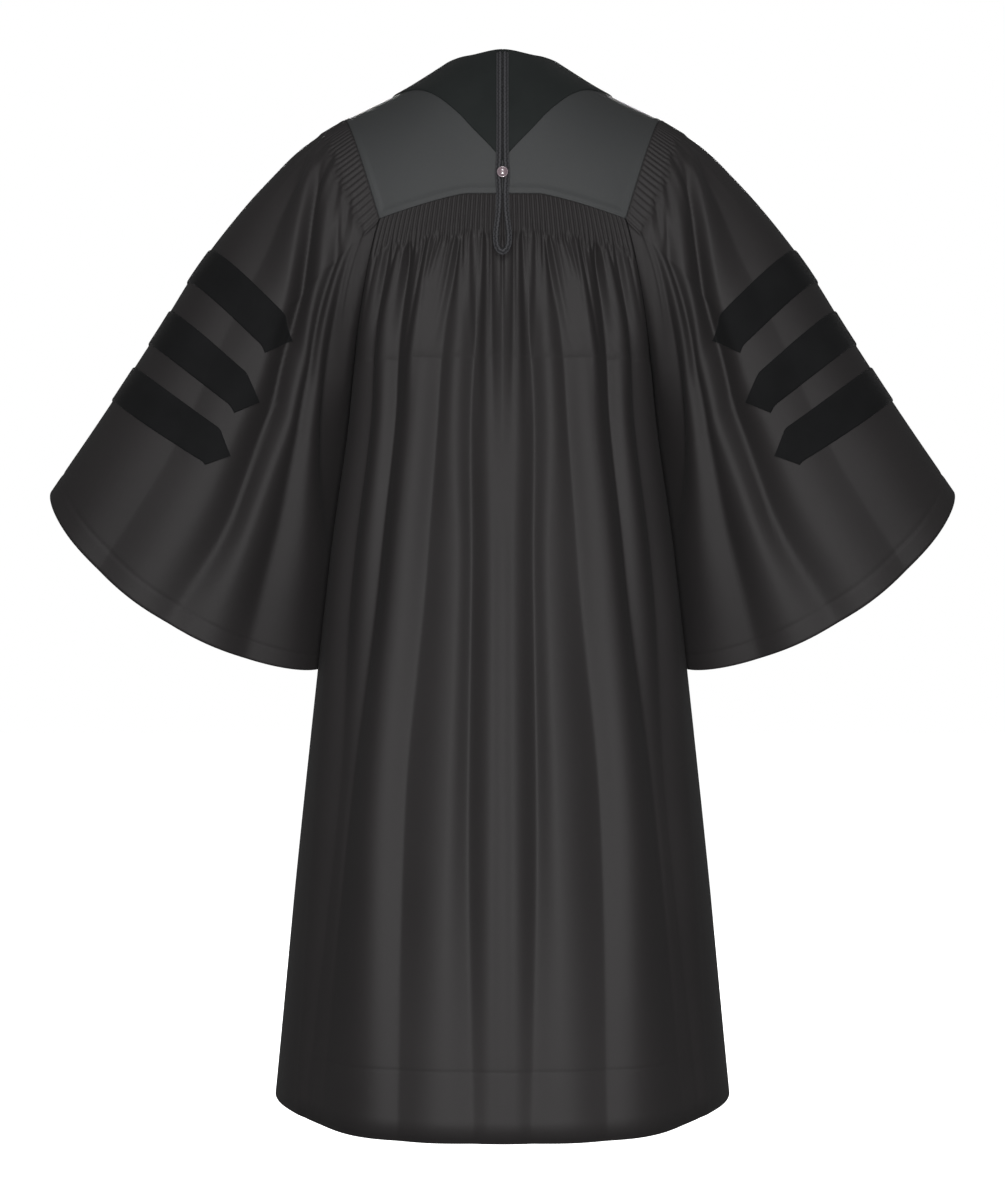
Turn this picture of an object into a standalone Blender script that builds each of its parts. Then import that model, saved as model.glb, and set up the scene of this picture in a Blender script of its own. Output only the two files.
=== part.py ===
"""Doctoral graduation gown, filled out as worn, seen by the camera from behind.

Metres. +Z is up, the wearer faces +Y and the wearer's right hand is on the +X side. Every piece is worked out
in heights above the hem and then hung on an empty, so that the origin lies between the shoulders.
"""

from math import asin, cos, inf, pi, radians, sin, sqrt

import bmesh
import bpy
from mathutils import Vector

# Driving dimensions
SHOULDER_HEIGHT = 1.330
SEAM_HEIGHT = 1.174
SEAM_DROP = 0.030
UNDERARM_HEIGHT = 0.965
SHOULDER_HALF = 0.2065
CORNER_HALF = 0.1553
ARMHOLE_DEPTH = 0.118
NECK_HALF = 0.075
NECK_BACK_DEPTH = 0.065
NECK_FRONT_LEVEL = 0.90
FRONT_YOKE_LEVEL = 0.55
HEM_SIDE_LIFT = 0.020

# Cloth and gaps
CLOTH = 0.0018
VELVET = 0.0015
GAP = 0.0003

# Fluting under the yoke and round the sleeve heads
BACK_FLUTES = 54
FRONT_FLUTES = 11
SLEEVE_FLUTES = 24
FLUTE_HEIGHT = 0.0022
SLEEVE_FLUTES_FROM = 0.05
SLEEVE_FLUTES_TO = 0.66

# Share of the half armhole that the yoke takes, from the shoulder line to the yoke's corner
YOKE_SHARE = 0.46

# Cord and button
CORD_DIAMETER = 0.0076
BUTTON_RADIUS = 0.0070
BUTTON_THICKNESS = 0.0042
BUTTON_HEIGHT = 1.199
SHANK_RADIUS = 0.0014


def table(columns, *rows):
    """A short table, kept as one list for each named column."""
    return {name: [row[i] for row in rows] for i, name in enumerate(columns.split())}


# Smooth torso, level by level. A higher power squares off the garment's plan.
TORSO = table(
    "height  half_width  back_depth  front_depth  power",
    (0.000, 0.2965, 0.251, 0.225, 2.45),
    (0.300, 0.2695, 0.222, 0.200, 2.45),
    (0.570, 0.2415, 0.192, 0.172, 2.50),
    (0.730, 0.2235, 0.172, 0.156, 2.60),
    (0.900, 0.1990, 0.152, 0.140, 2.75),
    (0.965, 0.1935, 0.146, 0.135, 2.80),
    (1.174, 0.1553, 0.130, 0.122, 2.80),
)

# Height of the shoulder line above the hem, out from the centre
SHOULDER = table(
    "half_width  height",
    (-0.045, 1.3810),
    (0.000, 1.4000),
    (0.045, 1.3810),
    (0.075, 1.3610),
    (0.132, 1.3255),
    (0.2065, 1.2885),
    (0.260, 1.2600),
)

# Outer edge of the velvet. Levels are positive down the back and negative down the front.
VELVET_EDGE = table(
    "level  half_width",
    (-1.000, 0.125),
    (-0.550, 0.130),
    (-0.200, 0.143),
    (0.000, 0.145),
    (0.170, 0.131),
    (0.310, 0.110),
    (0.470, 0.086),
    (0.620, 0.0615),
    (0.740, 0.038),
    (0.8825, 0.000),
    (1.000, -0.034),
)

# Way into the hollow at the armhole seam, from the shoulder line (0) to the underarm (1), on the +X side
SEAM_INWARD = table(
    "round  body_x  body_y  body_z  sleeve_x  sleeve_y  sleeve_z",
    (0.00, -0.45, 0.00, -0.89, -0.45, 0.00, -0.89),
    (0.20, -0.35, 0.45, -0.80, -0.35, 0.45, -0.80),
    (0.46, -0.15, 0.98, -0.10, -0.15, 0.98, -0.10),
    (0.75, -0.60, 0.80, 0.10, 0.10, 0.90, 0.35),
    (1.00, -1.00, 0.00, 0.00, 0.70, 0.00, 0.70),
)

# Long folds of the back, out from the centre to the side seam. Each row is one ridge or crease: its place
# as a share of the half width, and its relief in millimetres, at six heights above the hem.
FOLD_HEIGHTS = (1.09, 1.00, 0.90, 0.70, 0.42, 0.00)
BACK_FOLDS = (
    ("centre", (0.00, 0.00, 0.00, 0.00, 0.00, 0.00), (-2.5, -2.0, 1.0, 4.0, 5.0, 4.0)),
    ("first ridge", (0.06, 0.055, 0.045, 0.04, 0.04, 0.03), (3.0, 3.0, 3.0, 3.5, 4.0, 3.0)),
    ("first crease", (0.16, 0.15, 0.15, 0.155, 0.14, 0.08), (-3.0, -4.0, -5.0, -4.5, -3.5, -3.0)),
    ("second ridge", (0.23, 0.21, 0.23, 0.225, 0.23, 0.17), (2.0, 2.0, 2.0, 2.0, 4.0, 2.5)),
    ("second crease", (0.35, 0.35, 0.375, 0.36, 0.36, 0.40), (-3.0, -3.0, -4.0, -5.0, -4.0, -3.0)),
    ("broad ridge", (0.44, 0.44, 0.48, 0.48, 0.54, 0.52), (4.0, 5.0, 6.0, 7.0, 7.0, 5.0)),
    ("deep crease", (0.73, 0.65, 0.625, 0.637, 0.675, 0.66), (-6.0, -9.0, -12.0, -12.0, -10.0, -5.0)),
    ("third ridge", (0.81, 0.73, 0.745, 0.735, 0.77, 0.77), (3.0, 4.0, 5.0, 5.0, 4.0, 2.0)),
    ("side crease", (0.88, 0.81, 0.81, 0.81, 0.83, 0.84), (-4.0, -4.0, -5.0, -5.0, -3.0, -2.0)),
    ("side ridge", (0.94, 0.91, 0.92, 0.91, 0.89, 0.90), (4.0, 5.0, 6.0, 6.0, 4.0, 2.0)),
    ("side seam", (1.00, 1.00, 1.00, 1.00, 1.00, 1.00), (0.0, 0.0, 0.0, 0.0, 0.0, 0.0)),
)

# Folds of a front, as a share of the way from the velvet's edge to the side seam
FRONT_FOLDS = (
    ("velvet edge", (0.00, 0.00, 0.00, 0.00, 0.00, 0.00), (0.0, 0.0, 0.0, 0.0, 0.0, 0.0)),
    ("first crease", (0.12, 0.13, 0.13, 0.12, 0.11, 0.10), (-2.0, -3.0, -4.0, -5.0, -4.0, -3.0)),
    ("first ridge", (0.26, 0.28, 0.29, 0.28, 0.27, 0.25), (2.0, 3.0, 5.0, 6.0, 7.0, 5.0)),
    ("deep crease", (0.42, 0.45, 0.47, 0.49, 0.50, 0.49), (-2.0, -4.0, -8.0, -10.0, -9.0, -5.0)),
    ("second ridge", (0.58, 0.61, 0.62, 0.64, 0.65, 0.64), (2.0, 3.0, 5.0, 6.0, 5.0, 3.0)),
    ("side crease", (0.74, 0.77, 0.77, 0.78, 0.79, 0.80), (-2.0, -3.0, -4.0, -4.0, -3.0, -2.0)),
    ("side ridge", (0.87, 0.89, 0.89, 0.90, 0.90, 0.90), (2.0, 3.0, 4.0, 5.0, 4.0, 2.0)),
    ("side seam", (1.00, 1.00, 1.00, 1.00, 1.00, 1.00), (0.0, 0.0, 0.0, 0.0, 0.0, 0.0)),
)

# Small gathers between the fluting and the long folds: place as a share of the half width
GATHERS = (0.025, 0.09, 0.205, 0.265, 0.395, 0.455, 0.55, 0.62, 0.68, 0.77, 0.86)
GATHER_RELIEF = 0.0016
GATHERS_TOP = 1.145
GATHERS_END = 1.030

# Sleeve on the +X side, from the armhole (0) to the cuff (1)
SLEEVE = table(
    "along  ridge_x  ridge_z  low_x  low_z  half_depth  bulge",
    (0.000, 0.2065, 1.2885, 0.1940, 0.965, 0.118, 0.000),
    (0.097, 0.2575, 1.2560, 0.1985, 0.925, 0.122, 0.000),
    (0.189, 0.2990, 1.2160, 0.2020, 0.890, 0.124, 0.002),
    (0.276, 0.3360, 1.1765, 0.2055, 0.855, 0.126, 0.004),
    (0.437, 0.3980, 1.0970, 0.2145, 0.790, 0.128, 0.012),
    (0.585, 0.4470, 1.0190, 0.2220, 0.735, 0.130, 0.022),
    (0.800, 0.5205, 0.9070, 0.2312, 0.655, 0.128, 0.038),
    (1.000, 0.5910, 0.8046, 0.2402, 0.570, 0.122, 0.055),
)
BLEND_LENGTH = 0.40

# How far the lowest line of a sleeve lies in front of its top ridge
SLEEVE_LOW_FORWARD = 0.045

# Folds of a half sleeve, from its top ridge (0) round to its lowest line (1), at six places along it
SLEEVE_FOLD_PLACES = (0.08, 0.16, 0.30, 0.45, 0.68, 1.00)
SLEEVE_FOLDS = (
    ("top ridge", (0.00, 0.00, 0.00, 0.00, 0.00, 0.00), (0.0, 0.0, 0.0, 0.0, 0.0, 0.0)),
    ("first ridge", (0.06, 0.10, 0.17, 0.22, 0.25, 0.25), (1.0, 2.0, 2.0, 2.0, 2.0, 3.0)),
    ("first crease", (0.13, 0.19, 0.31, 0.36, 0.38, 0.36), (-2.0, -3.0, -3.0, -2.0, -3.0, -3.0)),
    ("second ridge", (0.18, 0.27, 0.42, 0.47, 0.49, 0.45), (2.0, 4.0, 5.0, 5.0, 6.0, 4.0)),
    ("deep crease", (0.22, 0.34, 0.52, 0.58, 0.59, 0.53), (-5.0, -10.0, -15.0, -15.0, -12.0, -5.0)),
    ("third ridge", (0.30, 0.43, 0.59, 0.65, 0.67, 0.62), (3.0, 5.0, 6.0, 6.0, 6.0, 4.0)),
    ("third crease", (0.34, 0.48, 0.63, 0.71, 0.76, 0.73), (-2.0, -3.0, -4.0, -4.0, -5.0, -4.0)),
    ("inner ridge", (0.39, 0.54, 0.69, 0.79, 0.86, 0.85), (3.0, 4.0, 5.0, 5.0, 5.0, 4.0)),
    ("inner crease", (0.47, 0.63, 0.78, 0.87, 0.94, 0.94), (-3.0, -6.0, -10.0, -9.0, -6.0, -3.0)),
    ("lowest line", (1.00, 1.00, 1.00, 1.00, 1.00, 1.00), (0.0, 0.0, 0.0, 0.0, 0.0, 0.0)),
)

# Rows of a sleeve slant towards the shoulder as they leave the top ridge, and the bars lie along them
SLANT = 0.112
SLANT_PEAK = 0.47
SLANT_END = 0.70

# Velvet bars on a sleeve: the rows along which their two edges lie. Each reaches BAR_STATIONS stations round
# the half sleeve, and its tip lies on the upper row at the next one.
BARS = table(
    "number  upper_row  lower_row",
    (1, 0.402, 0.488),
    (2, 0.5535, 0.6395),
    (3, 0.692, 0.778),
)
BAR_STATIONS = 11

# Route of one strand of the doubled cord: sideways in millimetres, height above the hem, and how far its
# middle lies off the torso's smooth face, in millimetres
CORD_ROUTE = (
    (4.0, 1.358, 6.8),
    (4.0, 1.340, 6.8),
    (4.0, 1.300, 6.4),
    (4.0, 1.245, 6.4),
    (4.4, 1.215, 6.4),
    (5.7, 1.199, 4.9),
    (4.6, 1.186, 5.4),
    (4.1, 1.170, 6.9),
    (4.8, 1.150, 7.2),
    (6.6, 1.134, 7.4),
    (8.2, 1.119, 8.0),
    (7.6, 1.107, 8.4),
    (4.4, 1.0995, 8.6),
    (0.0, 1.0970, 8.6),
)
CORD_STEPS = 2


def smooth(rows, place_column, place, value_column):
    """Value at a place in a table, on a curve through its rows that never overshoots them."""
    places = rows[place_column]
    values = rows[value_column]
    place = min(max(place, places[0]), places[-1])
    slopes = [
        (values[i + 1] - values[i]) / (places[i + 1] - places[i]) for i in range(len(places) - 1)
    ]
    i = 0
    while i < len(places) - 2 and place > places[i + 1]:
        i += 1

    def bend(k):
        if k == 0:
            return slopes[0]
        if k == len(places) - 1:
            return slopes[-1]
        before, after = slopes[k - 1], slopes[k]
        return 0.0 if before * after <= 0 else 2 * before * after / (before + after)

    width = places[i + 1] - places[i]
    t = (place - places[i]) / width
    start = (1 + 2 * t) * (1 - t) ** 2 * values[i] + t * (1 - t) ** 2 * width * bend(i)
    end = t * t * (3 - 2 * t) * values[i + 1] - t * t * (1 - t) * width * bend(i + 1)
    return start + end


def mix(a, b, share):
    return a + (b - a) * share


def ease(value, start, end):
    """0 before start and 1 after end, with a soft change between them."""
    t = min(max((value - start) / (end - start), 0.0), 1.0)
    return t * t * (3 - 2 * t)


def half_width(level):
    """Half the torso's width at a level: 0 on the shoulder line, 1 at the yoke seam, 2 at the underarm."""
    if level <= 1:
        return mix(SHOULDER_HALF, CORNER_HALF, level**1.6)
    if level <= 2:
        underarm_half = smooth(TORSO, "height", UNDERARM_HEIGHT, "half_width")
        return mix(CORNER_HALF, underarm_half, sin((level - 1) * pi / 2) ** 0.8)
    return smooth(TORSO, "height", UNDERARM_HEIGHT * (3 - level), "half_width")


def torso(side, across, level):
    """Point on the torso's smooth outer face.

    side is -1 at the back and 1 at the front. across runs from -1 to 1 over the piece. level runs from 0 on
    the shoulder line to 1 at the yoke seam, 2 at the underarm and 3 at the hem.
    """
    depth_column = "back_depth" if side < 0 else "front_depth"
    x = across * half_width(level)
    if level <= 1:
        depth = plan_depth(across, TORSO[depth_column][-1], ARMHOLE_DEPTH, TORSO["power"][-1])
        top = smooth(SHOULDER, "half_width", abs(x), "height")
        low = SEAM_HEIGHT - seam_drop(across)
        turn = level * pi / 2
        return Vector((x, side * depth * sin(turn), top - (top - low) * (1 - cos(turn))))
    if level <= 2:
        turn = (level - 1) * pi / 2
        edge_height = mix(SEAM_HEIGHT - SEAM_DROP, UNDERARM_HEIGHT, sin(turn))
        height = edge_height + (SEAM_DROP - seam_drop(across)) * (1 - sin(turn))
        edge_depth = ARMHOLE_DEPTH * cos(turn)
    else:
        fall = level - 2
        height = UNDERARM_HEIGHT * (1 - fall) + HEM_SIDE_LIFT * across**4 * fall**4
        edge_depth = 0.0
    centre_depth = smooth(TORSO, "height", height, depth_column)
    depth = plan_depth(across, centre_depth, edge_depth, smooth(TORSO, "height", height, "power"))
    return Vector((x, side * depth, height))


def plan_depth(across, centre_depth, edge_depth, power):
    """Depth at a share of the half width, on a rounded plan that ends at the edge's depth."""
    turned = (1 - (edge_depth / centre_depth) ** power) * abs(across) ** power
    return centre_depth * max(1 - turned, 0.0) ** (1 / power)


def seam_drop(across):
    """How far the back yoke seam lies below its middle."""
    return SEAM_DROP * max((abs(across) - 0.30) / 0.70, 0.0) ** 1.2


def armhole_round(level):
    """Place round the half armhole of the torso's edge: 0 on the shoulder line and 1 at the underarm."""
    if level <= 1:
        return YOKE_SHARE * level
    return YOKE_SHARE + (1 - YOKE_SHARE) * (level - 1)


def seam_inward(owner, side, round_place):
    """Way into the hollow at the armhole seam on the +X side."""
    way = [smooth(SEAM_INWARD, "round", round_place, owner + axis) for axis in ("_x", "_y", "_z")]
    return Vector((way[0], -side * way[1], way[2])).normalized()


def torso_inward(side, across, level):
    """Way from the torso's outer face into its hollow."""
    if abs(across) > 0.9999:
        outward = 1 if across > 0 else -1
        if level >= 2:
            return Vector((-outward, 0, 0))
        way = seam_inward("body", side, armhole_round(level))
        return Vector((outward * way.x, way.y, way.z))
    step = 0.004
    low, high = max(across - step, -1.0), min(across + step, 1.0)
    along_row = torso(side, high, level) - torso(side, low, level)
    down = torso(side, across, min(level + step, 3.0)) - torso(side, across, max(level - step, 0.0))
    way = along_row.cross(down)
    hollow = Vector((0, 0, torso(side, across, level).z - 0.15)) - torso(side, across, level)
    return (way if way.dot(hollow) > 0 else -way).normalized()


def fold_lines(folds, heights, height):
    """(place, relief in metres) of each fold at a height or place along the piece."""
    lines = []
    for _, places, reliefs in folds:
        columns = table("height  place  relief", *sorted(zip(heights, places, reliefs)))
        place = smooth(columns, "height", height, "place")
        lines.append((place, smooth(columns, "height", height, "relief") / 1000))
    return lines


def relief_at(lines, place):
    """Relief between the folds, rising and falling softly from one line to the next."""
    for (start, low), (end, high) in zip(lines, lines[1:]):
        if place <= end:
            return mix(low, high, ease(place, start, end))
    return lines[-1][1]


def gather_relief(across, height):
    """Small gathers that die out down the back."""
    strength = 1 - ease(-height, -GATHERS_TOP, -GATHERS_END)
    place = abs(across)
    nearest = min(abs(place - gather) for gather in GATHERS)
    return GATHER_RELIEF * strength * max(1 - nearest / 0.030, -0.6) * (1 - ease(place, 0.90, 1.0))


def back_point(across, level, flute=0.0):
    """Outer point of the back, with its folds. flute is the height of the fluting there."""
    base = torso(-1, across, level)
    lines = fold_lines(BACK_FOLDS, FOLD_HEIGHTS, base.z)
    below_seam = ease(level, 1.02, 1.22)
    relief = relief_at(lines, abs(across)) * below_seam
    relief += gather_relief(across, base.z) * ease(level, 1.10, 1.17)
    return base - torso_inward(-1, across, level) * (relief + flute)


def front_edge(level):
    """Half width at which a front starts: the neckline, then the centre line."""
    if level >= NECK_FRONT_LEVEL:
        return GAP / 2
    return max(NECK_HALF * (1 - (level / NECK_FRONT_LEVEL) ** 2.2), GAP / 2)


def velvet_edge(signed_level):
    return smooth(VELVET_EDGE, "level", signed_level, "half_width")


def front_point(across, level, flute=0.0):
    """Outer point of a front on the +X side, with its folds."""
    base = torso(1, across, level)
    edge = velvet_edge(-min(level, 1.0)) / half_width(level)
    share = (across - edge) / (1 - edge)
    relief = 0.0
    if share > 0:
        lines = fold_lines(FRONT_FOLDS, FOLD_HEIGHTS, base.z)
        relief = relief_at(lines, share) * ease(level, FRONT_YOKE_LEVEL + 0.02, 1.10)
    return base - torso_inward(1, across, level) * (relief + flute)


def sleeve_ring(along, round_place, side):
    """Point on the plain ring of a sleeve, before it is drawn to the armhole."""
    value = {name: smooth(SLEEVE, "along", along, name) for name in SLEEVE}
    ridge = Vector((value["ridge_x"], 0, value["ridge_z"]))
    low = Vector((value["low_x"], 0, value["low_z"]))
    across_ring = (low - ridge).normalized()
    outward = Vector((-across_ring.z, 0, across_ring.x))
    if outward.z > 0:
        outward = -outward
    share = (1 - cos(pi * round_place)) / 2
    swell = max(sin(pi * round_place), 0.0)
    point = ridge.lerp(low, share) + outward * value["bulge"] * swell**1.5
    forward = SLEEVE_LOW_FORWARD * share * ease(along, 0.0, 0.3)
    point.y = side * value["half_depth"] * swell + forward
    return point


def armhole(round_place, side):
    """Point on the armhole's edge on the +X side."""
    if round_place <= YOKE_SHARE:
        level = round_place / YOKE_SHARE
    else:
        level = 1 + (round_place - YOKE_SHARE) / (1 - YOKE_SHARE)
    return torso(side, 1.0, level)


def sleeve_base(along, round_place, side):
    """Smooth outer face of the sleeve on the +X side: the armhole's shape, turning into the open bell."""
    ring = sleeve_ring(along, round_place, side)
    pull = 1 - ease(along, 0.0, BLEND_LENGTH)
    return ring + (armhole(round_place, side) - sleeve_ring(0.0, round_place, side)) * pull


def sleeve_inward(along, round_place, side):
    if along <= 0.0:
        return seam_inward("sleeve", side, round_place)
    step = 0.004
    low, high = round_place - step, round_place + step
    if round_place < step or round_place > 1 - step:
        return sleeve_middle_inward(along, round_place)
    around = sleeve_base(along, high, side) - sleeve_base(along, low, side)
    below = sleeve_base(min(along + step, 1.0), round_place, side)
    way = around.cross(below - sleeve_base(along - step, round_place, side))
    centre = (sleeve_base(along, 0.0, side) + sleeve_base(along, 1.0, side)) / 2
    hollow = centre - sleeve_base(along, round_place, side)
    return (way if way.dot(hollow) > 0 else -way).normalized()


def sleeve_middle_inward(along, round_place):
    """Way into the sleeve on its top ridge and its lowest line, square to that line."""
    above = sleeve_base(max(along - 0.02, 0.0), round_place, -1)
    down = sleeve_base(min(along + 0.02, 1.0), round_place, -1) - above
    way = Vector((-down.z, 0, down.x))
    hollow = sleeve_base(along, 0.5, -1) - sleeve_base(along, round_place, -1)
    hollow.y = 0
    return (way if way.dot(hollow) > 0 else -way).normalized()


def sleeve_point(along, round_place, side, flute=0.0):
    """Outer point of the sleeve on the +X side, with its folds."""
    base = sleeve_base(along, round_place, side)
    lines = fold_lines(SLEEVE_FOLDS, SLEEVE_FOLD_PLACES, along)
    relief = relief_at(lines, round_place) * ease(along, 0.04, 0.18)
    return base - sleeve_inward(along, round_place, side) * (relief + flute)


class Cloth:
    """A closed wall between rows of outer points and rows of inner points."""

    def __init__(self, name, mirror=False):
        self.name = name
        self.mirror = -1 if mirror else 1
        self.mesh = bmesh.new()

    def row(self, points):
        """Turns (place, point) pairs into (place, vertex) pairs."""
        return [(place, self.mesh.verts.new((self.mirror * p.x, p.y, p.z))) for place, p in points]

    def strip(self, near, far, turn=inf):
        """Triangles between two rows, whatever the number of points in each. They lean over at the turn."""
        i = j = 0
        while i < len(near) - 1 or j < len(far) - 1:
            if j == len(far) - 1:
                along_near = True
            else:
                lead = 1e-9 if far[j + 1][0] <= turn else -1e-9
                along_near = i < len(near) - 1 and near[i + 1][0] <= far[j + 1][0] + lead
            if along_near:
                self.mesh.faces.new((near[i][1], near[i + 1][1], far[j][1]))
                i += 1
            else:
                self.mesh.faces.new((near[i][1], far[j + 1][1], far[j][1]))
                j += 1

    def build(self, outer_rows, inner_rows, closed=False):
        """outer_rows and inner_rows hold (row place, points). Both start and end on the same rows."""
        faces = []
        for rows in (outer_rows, inner_rows):
            made = [(place, self.row(points)) for place, points in rows]
            if closed:
                made = [(place, row + [(1.0 + row[0][0], row[0][1])]) for place, row in made]
            for near, far in zip(made, made[1:]):
                near, far = sorted((near, far), key=lambda row: abs(row[0]))
                self.strip(near[1], far[1], 0.5 if closed else inf)
            faces.append(made)
        outer, inner = faces
        for end in (0, -1):
            if len(outer[end][1]) > 1:
                self.strip(outer[end][1], inner[end][1])
        if not closed:
            for edge in (0, -1):
                self.strip(
                    [(place, row[edge][1]) for place, row in outer],
                    [(place, row[edge][1]) for place, row in inner],
                )
        bmesh.ops.remove_doubles(self.mesh, verts=self.mesh.verts, dist=1e-7)
        bmesh.ops.recalc_face_normals(self.mesh, faces=self.mesh.faces)
        return add_object(self.name, self.mesh)


def add_object(name, mesh):
    data = bpy.data.meshes.new(name)
    mesh.to_mesh(data)
    mesh.free()
    data.shade_smooth()
    data.set_sharp_from_angle(angle=radians(40))
    piece = bpy.data.objects.new(name, data)
    bpy.context.scene.collection.objects.link(piece)
    return piece


def evenly(start, end, count):
    """count + 1 values from start to end."""
    return [start + (end - start) * i / count for i in range(count + 1)]


def unique(values, least=0.004):
    """Sorted values with near repeats left out."""
    kept = []
    for value in sorted(values):
        if not kept or value - kept[-1] > least:
            kept.append(value)
    return kept


# Rays of the yoke, from the neck out to its edge

BACK_SEAM_STATIONS = (0.0, 0.17, 0.34, 0.50, 0.67, 0.84)
ARMHOLE_STATIONS = (1.0, 0.8, 0.6, 0.4, 0.2, 0.0)
FRONT_STATIONS = (-0.14, -0.28, -0.42, -FRONT_YOKE_LEVEL)
VELVET_COLUMNS = 4
YOKE_COLUMNS = 3


def yoke_rays():
    """(neck x, neck level, edge x, edge level) of each ray on the +X side, from the centre back forward."""
    edges = [(across * CORNER_HALF, 1.0) for across in BACK_SEAM_STATIONS]
    edges += [(half_width(level), level) for level in ARMHOLE_STATIONS]
    rays = []
    for k, (edge_x, edge_level) in enumerate(edges):
        angle = radians(90) * k / (len(edges) - 1)
        neck_level = asin(NECK_BACK_DEPTH * cos(angle) / TORSO["back_depth"][-1]) * 2 / pi
        rays.append((NECK_HALF * sin(angle), neck_level, edge_x, edge_level))
    for level in FRONT_STATIONS:
        rays.append((front_edge(-level), level, half_width(-level), level))
    return rays


def yoke_face(x, level):
    """(outer point, way in) on the yoke at a signed level: positive at the back, negative at the front."""
    side = -1 if level >= 0 else 1
    across = x / half_width(abs(level))
    return torso(side, across, abs(level)), torso_inward(side, across, abs(level))


def on_ray(ray, share):
    return mix(ray[0], ray[2], share), mix(ray[1], ray[3], share)


def velvet_share(ray):
    """Share of a ray at which the velvet ends."""
    low, high = 0.0, 1.0
    for _ in range(40):
        middle = (low + high) / 2
        x, level = on_ray(ray, middle)
        if x < velvet_edge(level):
            low = middle
        else:
            high = middle
    return low


def ray_shares(ray):
    edge = velvet_share(ray)
    return evenly(0.0, edge, VELVET_COLUMNS) + evenly(edge, 1.0, YOKE_COLUMNS)[1:]


def build_yoke():
    outer = []
    inner = []
    rays = yoke_rays()
    places = range(1 - len(rays), len(rays))
    for place in places:
        ray = rays[abs(place)]
        hand = -1 if place < 0 else 1
        outer_row = []
        inner_row = []
        for column, share in enumerate(ray_shares(ray)):
            x, level = on_ray(ray, share)
            point, inward = yoke_face(x, level)
            deeper = point + inward * CLOTH
            outer_row.append((column, Vector((hand * point.x, point.y, point.z))))
            inner_row.append((column, Vector((hand * deeper.x, deeper.y, deeper.z))))
        outer.append((place, outer_row))
        inner.append((place, inner_row))
    return Cloth("yoke").build(outer, inner)


# Back

BACK_TOP_LEVELS = (1.0122, 1.1164)
BACK_UPPER_LEVELS = (1.17, 1.26, 1.40, 1.57, 1.76, 2.0)
LOWER_HEIGHTS = (0.93, 0.86, 0.76, 0.65, 0.53, 0.41, 0.29, 0.18, 0.085, 0.0)
LOWER_LEVELS = tuple(3 - height / UNDERARM_HEIGHT for height in LOWER_HEIGHTS)


def seam_across():
    """Stations that the yoke and the back share along their seam."""
    half = list(BACK_SEAM_STATIONS) + [1.0]
    return [-a for a in half[:0:-1]] + half


def between(values):
    """The values with one more halfway between each two."""
    filled = []
    for a, b in zip(values, values[1:]):
        filled += [a, (a + b) / 2]
    return filled + [values[-1]]


def back_across(level):
    """Stations across a row of the back: on every fold line, and halfway between them."""
    height = torso(-1, 0.5, level).z
    half = between([place for place, _ in fold_lines(BACK_FOLDS, FOLD_HEIGHTS, height)])
    if height > 1.06:
        half = unique(half + list(GATHERS), 0.012)
        half[-1] = 1.0
    return [-a for a in half[:0:-1]] + half


def build_back():
    drop = Vector((0, 0, -GAP))
    seam = [(a, torso(-1, a, 1.0) + drop) for a in seam_across()]
    seam_inner = [(a, torso(-1, a, 1.0) + drop + torso_inward(-1, a, 1.0) * CLOTH) for a in seam_across()]
    outer = [(1.0, seam)]
    inner = [(1.0, seam_inner)]
    flute_across = evenly(-1.0, 1.0, 2 * BACK_FLUTES)
    for level in BACK_TOP_LEVELS:
        row = []
        for i, across in enumerate(flute_across):
            row.append((across, back_point(across, level, FLUTE_HEIGHT * (i % 2))))
        outer.append((level, row))
        inner.append((level, back_inner_row(level, seam_across())))
    for level in BACK_UPPER_LEVELS + LOWER_LEVELS:
        stations = back_across(level)
        outer.append((level, [(a, back_edge(back_point(a, level), a, level)) for a in stations]))
        inner.append((level, back_inner_row(level, stations)))
    return Cloth("back").build(outer, inner)


def back_edge(point, across, level):
    """Leaves half the gap at a side seam."""
    if abs(across) == 1.0 and level >= 2:
        return point + Vector((0, -GAP / 2, 0))
    return point


def back_inner_row(level, stations):
    row = []
    for across in stations:
        point = back_point(across, level) + torso_inward(-1, across, level) * CLOTH
        row.append((across, back_edge(point, across, level)))
    return row


# Fronts

FRONT_SEAM_LEVEL = FRONT_YOKE_LEVEL + 0.0016
FRONT_FLUTE_LEVELS = (0.575, 0.68)
FRONT_UPPER_LEVELS = (0.78, NECK_FRONT_LEVEL, 1.0, 1.17, 1.40, 1.57, 1.76, 2.0)


def velvet_columns(level):
    """Stations over the velvet's width on a row of a front."""
    start = front_edge(level) / half_width(level)
    end = velvet_edge(-min(level, 1.0)) / half_width(level)
    return evenly(start, end, VELVET_COLUMNS)


def front_places(level):
    """Stations of a row past the velvet, as shares of the way from its edge to the side."""
    if level < 0.7:
        return evenly(0.0, 1.0, YOKE_COLUMNS)
    height = torso(1, 0.8, level).z
    return between([place for place, _ in fold_lines(FRONT_FOLDS, FOLD_HEIGHTS, height)])


def front_stations(level, places):
    """(place, across) of a row: one column after another over the velvet, then the shares past it."""
    columns = velvet_columns(level)
    stations = list(enumerate(columns[:-1]))
    return stations + [(VELVET_COLUMNS + place, mix(columns[-1], 1.0, place)) for place in places]


FRONT_LEVELS = (FRONT_SEAM_LEVEL,) + FRONT_FLUTE_LEVELS + FRONT_UPPER_LEVELS + LOWER_LEVELS


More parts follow.
